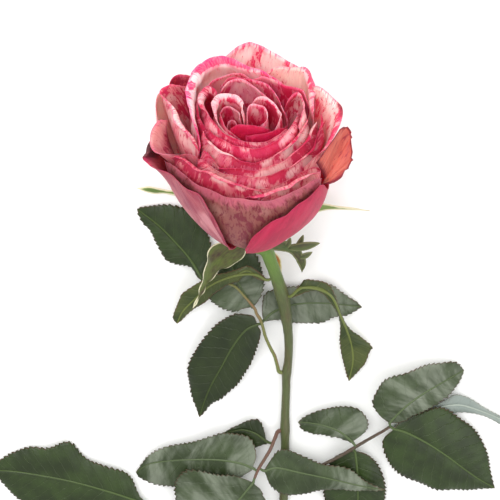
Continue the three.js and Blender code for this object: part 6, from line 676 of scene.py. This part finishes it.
    # which side faces the middle of the bloom
    facing = (Nn[:, :nv] * o3[:, None]).sum(-1).mean()
    fa, fb = (1.0, 0.0) if facing > 0 else (0.0, 1.0)
    rim_a = np.stack([edge / 100, np.full((n, m), fa)], -1)
    rim_b = np.stack([edge / 100, np.full((n, m), fb)], -1)
    tone = np.stack([stain, painted_shade_depth], -1)
    V, F, Ls, _ = blade(G, th, {"UVMap": uv, "Rim": rim_a, "Tone": tone, "Zone": np.stack([zone, zone], -1)}, {"Rim": rim_b})
    st = dict(OWN.get(name) or STYLE.get(group) or STYLE["petal_left"])
    mat = petal_material(name, seed=seed * 1.37, **st)
    return mesh_object(name + "_blade", V, F, Ls, mat)


# ------------------------------------------------------------------ leaves
def leaf_material(name, top, under, vein, edge, gloss=0.40, seed=0.0, painted_sheen_k=0.0, spacing=5.2, glare=0.0):
    m = Nodes(name)
    a, l = m.uv("UVMap")        # across (mm from the midrib), along (mm)
    d, face = m.uv("Rim")
    wide, lit = m.uv("Tone")
    n1 = m.noise(a, l, 0.10, 0.10, seed, 3.0)
    n2 = m.noise(a, l, 0.9, 0.9, seed + 4, 3.0, 0.6)
    n3 = m.noise(a, l, 0.3, 0.3, seed + 9, 2.0)
    absa = m.math("ABSOLUTE", a)
    ph = m.math("DIVIDE", m.math("SUBTRACT", l, m.math("MULTIPLY", absa, 0.75)), spacing / 100.0)
    ph = m.math("ADD", ph, m.math("MULTIPLY", m.math("SUBTRACT", n3, 0.5), 0.5))
    saw = m.math("ABSOLUTE", m.math("SUBTRACT", m.math("FRACT", ph), 0.5))
    lat = m.step(saw, 0.055, 0.0)
    mid = m.step(absa, 0.0055, 0.002)
    fine = m.step(m.noise(a, l, 1.6, 1.6, seed + 2, 2.0), 0.40, 0.62)
    col = m.mix(m.step(n1, 0.3, 0.7), rgb(top[0]), rgb(top[1]))
    col = m.mix(m.math("MULTIPLY", fine, 0.25), col, rgb(top[0]))
    col = m.mix(m.math("MULTIPLY", lat, 0.32), col, rgb(vein))
    # painted glare: soft grey patches streaked along the blade stand in for the white reflection on the glossy leaf
    if glare:
        sheen = m.noise(m.math("ADD", absa, m.math("MULTIPLY", l, 0.5)), l, 0.030, 0.10, seed + 13, 4.0, 0.6)
        col = m.mix(m.math("MULTIPLY", m.step(sheen, 0.42, 0.66), glare), col, rgb("#858c7c"))
    col = m.mix(m.math("MULTIPLY", mid, 0.85), col, rgb(vein))
    ucol = m.mix(m.math("MULTIPLY", m.math("MAXIMUM", lat, mid), 0.6), rgb(under), rgb(vein))
    col = m.mix(face, col, ucol)
    ed = m.math("ADD", d, m.math("MULTIPLY", m.math("SUBTRACT", n2, 0.5), 0.012))
    col = m.mix(m.math("MULTIPLY", m.step(ed, 0.006, 0.001), 0.65), col, rgb(edge))
    # painted sheen: a grey laid over the blade where the Tone layer marks it lit
    if painted_sheen_k:
        col = m.mix(m.math("MULTIPLY", lit, painted_sheen_k), col, rgb("#8c9488"))
    h = m.math("SUBTRACT", m.math("MULTIPLY", n2, 0.35), m.math("MULTIPLY", m.math("MAXIMUM", lat, mid), 1.0))
    m.bump(h, 0.45, 0.0007)
    m.p.inputs["Specular IOR Level"].default_value = 0.32
    return m.done(col, gloss)


def surface(t, n, m, camber, seed, wave=0.0):
    """Grid of the blade between its left edge, midrib and right edge."""
    Lp, _ = resample(t["L"], n)
    Mp, ML = resample(t["M"], n)
    Rp, _ = resample(t["R"], n)
    x = np.linspace(-1, 1, m)
    w = np.linalg.norm(Lp - Rp, axis=1)
    ll = np.linalg.norm(Lp - Mp, axis=1)
    rr = np.linalg.norm(Rp - Mp, axis=1)
    G = np.empty((n, m, 3))
    A = np.empty((n, m))
    for j, q in enumerate(x):
        side = Lp if q < 0 else Rp
        k = abs(q)
        G[:, j] = Mp * (1 - k) + side * k
        G[:, j, 2] += camber * w * 4 * k * (1 - k)
        A[:, j] = np.where(q < 0, -ll * k, rr * k)
    return G, A, ML, w


def margin_teeth(G, ML, amp, pitch, seed, margin_cols=3):
    """Saw teeth pointing to the tip, cut into the margin columns of the grid."""
    n, m = G.shape[:2]
    out = G.copy()
    for side in (0, m - 1):
        inner = G[:, 1] if side == 0 else G[:, m - 2]
        e = G[:, side]
        T = unit(np.gradient(e, axis=0))
        cum = np.r_[0, np.cumsum(np.linalg.norm(np.diff(e, axis=0), axis=1))]
        O = e - G[:, m // 2]
        O = unit(O - (O * T).sum(-1, keepdims=True) * T)
        rs = np.random.RandomState(seed + side)
        ph = cum / pitch + 0.25 * np.sin(cum * 0.31 + rs.uniform(0, 6))
        fr = ph - np.floor(ph)
        tooth = np.where(fr < 0.78, fr / 0.78, (1 - fr) / 0.22)
        scale = smooth(0.05, 0.2, cum / cum[-1]) * (1 - smooth(0.94, 1.0, cum / cum[-1]))
        size = amp * (0.75 + 0.5 * np.sin(np.floor(ph) * 12.9898) ** 2)
        dd = (tooth - 0.45) * size * scale
        shift = O * dd[:, None] + T * (0.45 * tooth * size * scale)[:, None]
        out[:, side] = e + shift
        near = 1 if side == 0 else m - 2
        out[:, near] = G[:, near] + shift * 0.45
    return out


LEAF_STYLE = {
    "dark": dict(top=("#1e2812", "#293517"), under="#4c5c34", vein="#38451f", edge="#4c2a1e"),
    # gloss: dark leaves that carry painted glare patches
    "gloss": dict(top=("#2a351d", "#3d4a2e"), under="#5a6a48", vein="#4a5836", edge="#4c2e22", glare=0.60),
    "mid": dict(top=("#222d14", "#30401c"), under="#566840", vein="#425226", edge="#502e22"),
    "olive": dict(top=("#2e3a1a", "#4a5228"), under="#626c34", vein="#68723a", edge="#5b3024"),
    # the leaflet behind on the right is painted grey all over as the sheen of its glossy surface
    "painted_sheen_grey": dict(top=("#7d8781", "#8d968f"), under="#99a29a", vein="#a4ada2", edge="#7b7a70"),
}
LEAF_KIND = {"leaf_simple_left": "olive", "leaf_simple_right": "olive", "leaflet_right_back": "painted_sheen_grey", "leaflet_upper_lateral": "gloss", "leaflet_middle_right": "gloss",
             "leaflet_right_upper": "gloss", "leaflet_right_small": "gloss", "leaflet_lower_left_terminal": "gloss", "leaflet_lower_left_side": "gloss",
             "leaflet_lower_right_side": "gloss", "leaflet_bottom_left": "mid", "leaflet_upper_terminal": "mid",
             "leaflet_right_terminal": "mid", "leaflet_right_lower": "mid"}


def leaf(name, t, seed):
    n, m = 150, 25
    G, A, ML, w = surface(t, n, m, 0.03, seed)
    s = np.linspace(0, 1, n)
    # gentle waves across the blade, raised between the side veins
    x = np.linspace(-1, 1, m)
    wv = waves(seed, 4, 1.0, 3.0)
    ab = np.abs(A)
    lat = (s[:, None] * ML - ab * 0.75) / 5.2
    ridge = -0.16 * np.exp(-((lat - np.round(lat)) / 0.13) ** 2) * smooth(0.5, 2.5, ab)
    groove = -0.28 * np.exp(-(A / 0.8) ** 2)
    und = 0.45 * wv(s)[:, None] * (x ** 2)[None, :] + 0.25 * waves(seed + 3, 4, 2, 6)(s)[:, None] * x[None, :] ** 3
    nn = grid_normals(G)
    nn *= np.sign(nn[..., 2:].mean())
    fade = (smooth(0, 0.06, s) * (1 - smooth(0.95, 1, s)))[:, None]
    G = G + nn * ((ridge + groove + und) * fade)[..., None]
    G = margin_teeth(G, ML, min(1.1, 0.034 * w.max()), 2.4, seed)
    # narrow ends
    for k, e in ((0, 0.25), (n - 1, 0.12)):
        c = G[k, m // 2].copy()
        o = G[k, -1] - G[k, 0]
        ref = G[k + 2, -1] - G[k + 2, 0] if k == 0 else G[k - 2, -1] - G[k - 2, 0]
        o = unit(ref)
        G[k] = c + o[None, :] * (x * e)[:, None]
    G[..., 2] = np.maximum(G[..., 2], 0.25)
    dl = np.linalg.norm(G - G[:, :1], axis=2)
    dr = np.linalg.norm(G - G[:, -1:], axis=2)
    edge = np.minimum(dl, dr)
    along = s[:, None] * ML * np.ones((1, m))
    uv = np.stack([A, along], -1) / 100
    top = np.stack([edge / 100, np.zeros((n, m))], -1)
    bot = np.stack([edge / 100, np.ones((n, m))], -1)
    tone = np.stack([np.abs(A) / np.maximum(w.max() / 2, 1), np.ones((n, m))], -1)
    N0 = grid_normals(G)[..., 2].mean()
    a, b = (top, bot) if N0 > 0 else (bot, top)
    V, F, Ls, _ = blade(G, 0.34, {"UVMap": uv, "Rim": a, "Tone": tone}, {"Rim": b})
    # the stalk and the raised midrib under the blade
    Mp, _ = resample(t["M"], 30)
    anchor = STALKS.get(name)
    pts = []
    if anchor is not None:
        pts.append(list(anchor) + [0.62])
        mid = (np.array(anchor) + Mp[0]) / 2
        pts.append([*mid, 0.6])
    for i in (0, 3, 8, 14, 20, 26, 28):
        f = i / 29
        pts.append([Mp[i][0], Mp[i][1], max(Mp[i][2] - 0.22, 0.35), 0.62 * (1 - f) ** 0.8 + 0.10])
    tv, tf, tuv, _, _ = tube(pts, 8, 60)
    off = len(V)
    V = np.vstack([V, tv])
    F = F + [[i + off for i in q] for q in tf]
    k = len(tv)
    Ls["UVMap"] = np.vstack([Ls["UVMap"], np.stack([np.zeros(k), tuv[:, 1]], 1)])
    Ls["Rim"] = np.vstack([Ls["Rim"], np.tile([0.05, 0.6], (k, 1))])
    Ls["Tone"] = np.vstack([Ls["Tone"], np.zeros((k, 2))])
    kind = LEAF_KIND.get(name, "dark")
    mat = leaf_material(name, seed=seed * 2.3, **LEAF_STYLE[kind])
    return mesh_object(name + "_blade", V, F, Ls, mat)


def nearest(P, line):
    line, _ = resample(line, 400)
    d = np.linalg.norm(line[:, :3] - P, axis=1)
    i = int(d.argmin())
    return line[i, :3], d[i]


STALKS = {}
for _n, _t in LEAVES.items():
    _p = np.array(_t["M"][0])
    _best = min((nearest(_p, r)[::-1] for r in list(RACHISES.values()) + [STEM]), key=lambda q: q[0])
    if _best[0] < 9:
        STALKS[_n] = _best[1].tolist()


# ------------------------------------------------------------------ sepals
def sepal_material(name, green, red, seed, margin="#d8d2b0"):
    m = Nodes(name)
    a, l = m.uv("UVMap")
    d, face = m.uv("Rim")
    n1 = m.noise(a, l, 0.25, 0.08, seed, 3.0)
    n2 = m.noise(a, l, 2.4, 0.4, seed + 4, 3.0)
    col = m.mix(m.step(n1, 0.35, 0.68), rgb(green), rgb(red))
    col = m.mix(m.math("MULTIPLY", m.step(n2, 0.3, 0.7), 0.14), col, rgb("#8a9144"))
    col = m.mix(m.math("MULTIPLY", face, 0.12), col, rgb("#a3aa72"))
    ed = m.math("ADD", d, m.math("MULTIPLY", m.math("SUBTRACT", n2, 0.5), 0.006))
    col = m.mix(m.step(ed, 0.008, 0.004), col, rgb(margin))
    m.bump(n2, 0.5, 0.0005)
    return m.done(col, 0.6)


def sepal(name, t, seed):
    n, m = 90, 17
    camber = {"sepal_front_left": 0.10, "sepal_lower_right": -0.12}.get(name, 0.06)
    G, A, ML, w = surface(t, n, m, camber, seed)
    s = np.linspace(0, 1, n)
    x = np.linspace(-1, 1, m)
    nn = grid_normals(G)
    nn *= np.sign(nn[..., 2:].mean())
    amp = 0.5 if name in ("sepal_front_left", "sepal_lower_right") else 0.2
    G = G + nn * (amp * waves(seed, 5, 2, 7)(s)[:, None] * x[None, :] ** 2 * smooth(0, 0.15, s)[:, None])[..., None]
    for k, e in ((0, 0.5), (n - 1, 0.12)):
        c = G[k, m // 2].copy()
        ref = G[k + 2, -1] - G[k + 2, 0] if k == 0 else G[k - 2, -1] - G[k - 2, 0]
        G[k] = c + unit(ref)[None, :] * (x * e)[:, None]
    dl = np.linalg.norm(G - G[:, :1], axis=2)
    dr = np.linalg.norm(G - G[:, -1:], axis=2)
    edge = np.minimum(dl, dr)
    uv = np.stack([A, s[:, None] * ML * np.ones((1, m))], -1) / 100
    N0 = grid_normals(G)[..., 2].mean()
    top = np.stack([edge / 100, np.zeros((n, m))], -1)
    bot = np.stack([edge / 100, np.ones((n, m))], -1)
    a, b = (top, bot) if N0 > 0 else (bot, top)
    V, F, Ls, _ = blade(G, 0.5, {"UVMap": uv, "Rim": a}, {"Rim": b})
    for pts in LOBES.get(name, []):
        base, tip, wd = np.array(pts[0], float), np.array(pts[1], float), pts[2]
        k = 14
        q = np.linspace(0, 1, k)
        side = unit(np.cross(tip - base, [0, 0, 1.0]))
        line = base + (tip - base) * q[:, None] + np.array([0, 0, 1.2]) * (np.sin(np.pi * q))[:, None]
        wdt = wd * np.sin(np.pi * (0.12 + 0.88 * q)) ** 0.8 + 0.08
        g = line[:, None] + side * (wdt[:, None] * np.linspace(-1, 1, 7)[None, :])[..., None]
        g[..., 2] -= 0.25 * wdt[:, None] * np.linspace(-1, 1, 7)[None, :] ** 2
        e = wdt[:, None] * (1 - np.abs(np.linspace(-1, 1, 7)))[None, :]
        u2 = np.stack([np.broadcast_to(np.linspace(-1, 1, 7)[None, :], (k, 7)), np.broadcast_to(q[:, None] * 6, (k, 7))], -1) / 100
        r2 = np.stack([e / 100, np.zeros((k, 7))], -1)
        v2, f2, l2, _ = blade(g, 0.4, {"UVMap": u2, "Rim": r2})
        off = len(V)
        V = np.vstack([V, v2])
        F = F + [[i + off for i in qq] for qq in f2]
        for key in Ls:
            Ls[key] = np.vstack([Ls[key], l2[key]])
    green, red = {"sepal_front_left": ("#465316", "#321c12"), "sepal_lower_right": ("#3f5226", "#3a2c24"), "sepal_under": ("#b39a3e", "#b0622e"),
                  "sepal_right": ("#6f8a45", "#7d8f4e"), "sepal_left": ("#6f8a3c", "#4f6a2c")}[name]
    margin = "#6d7048" if name == "sepal_lower_right" else "#d8d2b0"
    return mesh_object(name + "_blade", V, F, Ls, sepal_material(name, green, red, seed * 1.9, margin))


LOBES = {"sepal_lower_right": [([15.17, 144.32, 23.24], [28.45, 146.74, 23.3], 1.9), ([18.06, 141.5, 19.96], [21.41, 148.37, 18.13], 1.3), ([19.43, 136.95, 16.55], [25.38, 139.57, 16.53], 1.3), ([13.85, 144.53, 23.15], [15.69, 148.77, 22.44], 1.2)]}


# ------------------------------------------------------------------ stem
def stem_material(name, near, far, red, seed, red_k=0.5, fade=(0.2, 0.9)):
    m = Nodes(name)
    u, v = m.uv("UVMap")
    n1 = m.noise(u, v, 0.05, 0.06, seed, 3.0)
    n2 = m.noise(u, v, 0.6, 0.25, seed + 2, 3.0)
    n3 = m.noise(u, v, 0.10, 0.5, seed + 6, 2.0)
    col = m.mix(m.step(v, fade[0], fade[1]), rgb(near), rgb(far))
    col = m.mix(m.math("MULTIPLY", m.step(n1, 0.45, 0.7), red_k), col, rgb(red))
    col = m.mix(m.math("MULTIPLY", m.step(n2, 0.35, 0.75), 0.14), col, rgb("#8a9858"))
    m.bump(m.math("ADD", n2, n3), 0.35, 0.0004)
    m.p.inputs["Specular IOR Level"].default_value = 0.45
    return m.done(col, 0.42)


def plain(name, colour, rough, other, seed):
    m = Nodes(name)
    u, v = m.uv("UVMap")
    n = m.noise(u, v, 0.5, 0.5, seed, 3.0)
    return m.done(m.mix(n, rgb(colour), rgb(other)), rough)


made = []


def add(ob, node):
    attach(ob, "root")
    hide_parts(node)
    made.append(ob)


for i, (name, rows) in enumerate(PETALS.items()):
    add(petal(name, rows, i + 1), name)
for i, (name, t) in enumerate(LEAVES.items()):
    add(leaf(name, t, 40 + i), name)
for i, (name, t) in enumerate(SEPALS.items()):
    add(sepal(name, t, 80 + i), name)

# stem: swept, with the dome under the petals and its prickles
PRICKLES = [[0.60, 100, 3.6], [0.655, 165, 3.2], [0.72, 40, 3.8], [0.80, 155, 3.4], [0.87, 25, 3.6], [0.93, 120, 3.2]]
V, F, uv, C, D = tube(STEM, 28, 520, 0.02, 3, 2.6)
cut_ring = 519 * 28
uv[:cut_ring + 28, 1] *= 1.0
stem_parts = [(V, F, uv)]
prof = np.array([[0, -2.5], [4.4, -2.5], [5.8, 0.2], [6.6, 2.6], [5.6, 4.2], [3.8, 6.2], [2.2, 9.0], [0.05, 9.6]])
dv, df = [], []
for k, (rr, hh) in enumerate(prof):
    for q in range(24):
        t_ = 2 * np.pi * q / 24
        dv.append(BASE + max(rr, 0.05) * (np.cos(t_) * AX_R + np.sin(t_) * AX_F) + hh * AX_A)
for k in range(len(prof) - 1):
    for q in range(24):
        q2 = (q + 1) % 24
        df.append([k * 24 + q, k * 24 + q2, (k + 1) * 24 + q2, (k + 1) * 24 + q])
df.append([q for q in range(24)][::-1])
df.append([(len(prof) - 1) * 24 + q for q in range(24)])
stem_parts.append((np.array(dv), df, np.zeros((len(dv), 2))))
VV, FF, UU = np.vstack([p[0] for p in stem_parts]), [], np.vstack([p[2] for p in stem_parts])
o = 0
for p in stem_parts:
    FF += [[i + o for i in f] for f in p[1]]
    o += len(p[0])
stem_mat = stem_material("stem", "#5d7f30", "#474f2c", "#50382a", 2.0, 0.45, (0.12, 0.45))
stem_ob = mesh_object("stem_sweep", VV, FF, {"UVMap": UU}, stem_mat)
add(stem_ob, "stem")

prickle_mat = plain("prickle", "#7a4a30", 0.45, "#a06a44", 4.0)
rows_c, _ = resample(STEM, 74)
Cc = rows_c[:, :3]
up = np.array([0, 0, 1.0])
frames = []
for k in range(74):
    d_ = unit(Cc[min(k + 1, 73)] - Cc[max(k - 1, 0)])
    x_ = unit(np.cross(d_, up))
    y_ = unit(np.cross(x_, d_))
    up = y_
    frames.append((d_, x_, y_))
for j, (f, deg, ln) in enumerate(PRICKLES):
    k = round(f * 73)
    d_, x_, y_ = frames[k]
    a_ = math.radians(deg)
    out = x_ * math.cos(a_) + y_ * math.sin(a_)
    side = unit(np.cross(d_, out))
    r_ = rows_c[k, 3]
    c_ = Cc[k] + out * r_ * 0.5
    vs, fs = [], []
    NR, NS = 10, 14
    for a in range(NR):
        q = a / (NR - 1)
        cen = c_ + out * ln * q + d_ * (1.4 * q ** 1.6)
        sx, sy = 2.0 * (1 - q) ** 1.25 + 0.04, 0.8 * (1 - q) ** 1.1 + 0.04
        for b in range(NS):
            t_ = 2 * np.pi * b / NS
            vs.append(cen + d_ * sx * math.cos(t_) + side * sy * math.sin(t_))
    for a in range(NR - 1):
        for b in range(NS):
            b2 = (b + 1) % NS
            fs.append([a * NS + b, a * NS + b2, (a + 1) * NS + b2, (a + 1) * NS + b])
    fs.append(list(range(NS))[::-1])
    fs.append([(NR - 1) * NS + b for b in range(NS)])
    ob = mesh_object("prickle_%d" % (j + 1), np.array(vs), fs, {"UVMap": np.random.RandomState(j).rand(len(vs), 2) * 0.02}, prickle_mat)
    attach(ob, "root")
    made.append(ob)

# pale pith on the cut end
P_, _ = resample(STEM, 520)
e_, d_ = P_[-1, :3], unit(P_[-1, :3] - P_[-3, :3])
x_ = unit(np.cross(d_, [0, 0, 1.0]))
y_ = unit(np.cross(x_, d_))
vs, fs = [], []
for k, (rr, hh) in enumerate([(1.75, -0.6), (1.75, 0.10), (1.2, 0.16), (0.02, 0.18)]):
    for q in range(24):
        t_ = 2 * np.pi * q / 24
        p_ = e_ + x_ * rr * math.cos(t_) + y_ * rr * math.sin(t_)
        vs.append(p_ + d_ * (hh + 2.6 * rr / 2.25 * math.sin(t_)))
for k in range(3):
    for q in range(24):
        q2 = (q + 1) % 24
        fs.append([k * 24 + q, k * 24 + q2, (k + 1) * 24 + q2, (k + 1) * 24 + q])
fs.append(list(range(24))[::-1])
fs.append([72 + q for q in range(24)])
pith = mesh_object("stem_cut_face", np.array(vs), fs, {"UVMap": np.random.RandomState(9).rand(len(vs), 2) * 0.02}, plain("cut_face", "#c9c79a", 0.7, "#a9b07c", 6.0))
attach(pith, "root")
made.append(pith)

RACHIS_STYLE = {"rachis_upper": ("#66703a", "#6c6c3a", "#8c4c48"), "rachis_lower_left": ("#5e3c34", "#544632", "#6e363c"), "rachis_right": ("#453229", "#403029", "#563232"), "rachis_bottom_left": ("#50362c", "#4a3c2e", "#5c3434")}
for i, (name, rows) in enumerate(RACHISES.items()):
    rows = [list(r) for r in rows]
    a0, _ = nearest(np.array(rows[0][:3]), STEM)
    rows = [[*a0, rows[0][3] * 1.05]] + rows
    rows = [[*q[:3], q[3] * 0.78] for q in rows]
    V, F, uv, _, _ = tube(rows, 14, 160, 0.04, 20 + i)
    c1, c2, c3 = RACHIS_STYLE[name]
    ob = mesh_object(name + "_sweep", V, F, {"UVMap": uv}, stem_material(name, c1, c2, c3, 3.0 + i, 0.6, (0.05, 0.4)))
    add(ob, name)

# ------------------------------------------------------------------ floor, light, camera
fl = bpy.data.meshes.new("floor")
s_ = 4.0
fl.from_pydata([(-s_, -s_, 0), (s_, -s_, 0), (s_, s_, 0), (-s_, s_, 0)], [], [[0, 1, 2, 3]])
floor = bpy.data.objects.new("floor", fl)
bpy.context.scene.collection.objects.link(floor)
fm = Nodes("floor_white")
fl.materials.append(fm.done(rgb("#f7f7f6"), 0.9))

world = bpy.data.worlds.new("studio")
bpy.context.scene.world = world
world.use_nodes = True
bg = world.node_tree.nodes.get("Background") or world.node_tree.nodes.new("ShaderNodeBackground")
bg.inputs["Color"].default_value = (1, 1, 1, 1)
bg.inputs["Strength"].default_value = 0.86


def area(name, loc, target, size, power):
    li = bpy.data.lights.new(name, "AREA")
    li.shape = "RECTANGLE"
    li.size, li.size_y = size
    li.energy = power
    ob = bpy.data.objects.new(name, li)
    bpy.context.scene.collection.objects.link(ob)
    ob.location = loc
    ob.rotation_euler = (Vector(target) - Vector(loc)).to_track_quat("-Z", "Y").to_euler()
    return ob


area("key", (-0.35, 0.75, 1.15), (0, 0.12, 0.02), (0.9, 0.9), 11.0)
area("fill", (0.9, -0.2, 1.2), (0, 0.05, 0.02), (1.2, 1.2), 7.0)
area("front", (0.05, 1.25, 0.55), (0, 0.2, 0.03), (0.8, 0.5), 4.5)

bpy.context.scene.view_settings.view_transform = "Standard"
cam = bpy.data.cameras.new("camera")
cam.sensor_width = 36.0
cam.lens = 36.0 / (500 * 0.44 / 900)
camera = bpy.data.objects.new("camera", cam)
bpy.context.scene.collection.objects.link(camera)
e_ = math.radians(67.0)
Rv, Uv, Dv = Vector((1, 0, 0)), Vector((0, math.sin(e_), -math.cos(e_))), Vector((0, math.cos(e_), math.sin(e_)))
M = Matrix((Rv, Uv, Dv)).transposed().to_4x4()
M.translation = Vector(CAMERA_MM) / 1000
camera.matrix_world = M
bpy.context.scene.camera = camera

tris = {o.name: sum(len(p.vertices) - 2 for p in o.data.polygons) for o in made}
print("triangles", sum(tris.values()), "most", max(tris.values()))
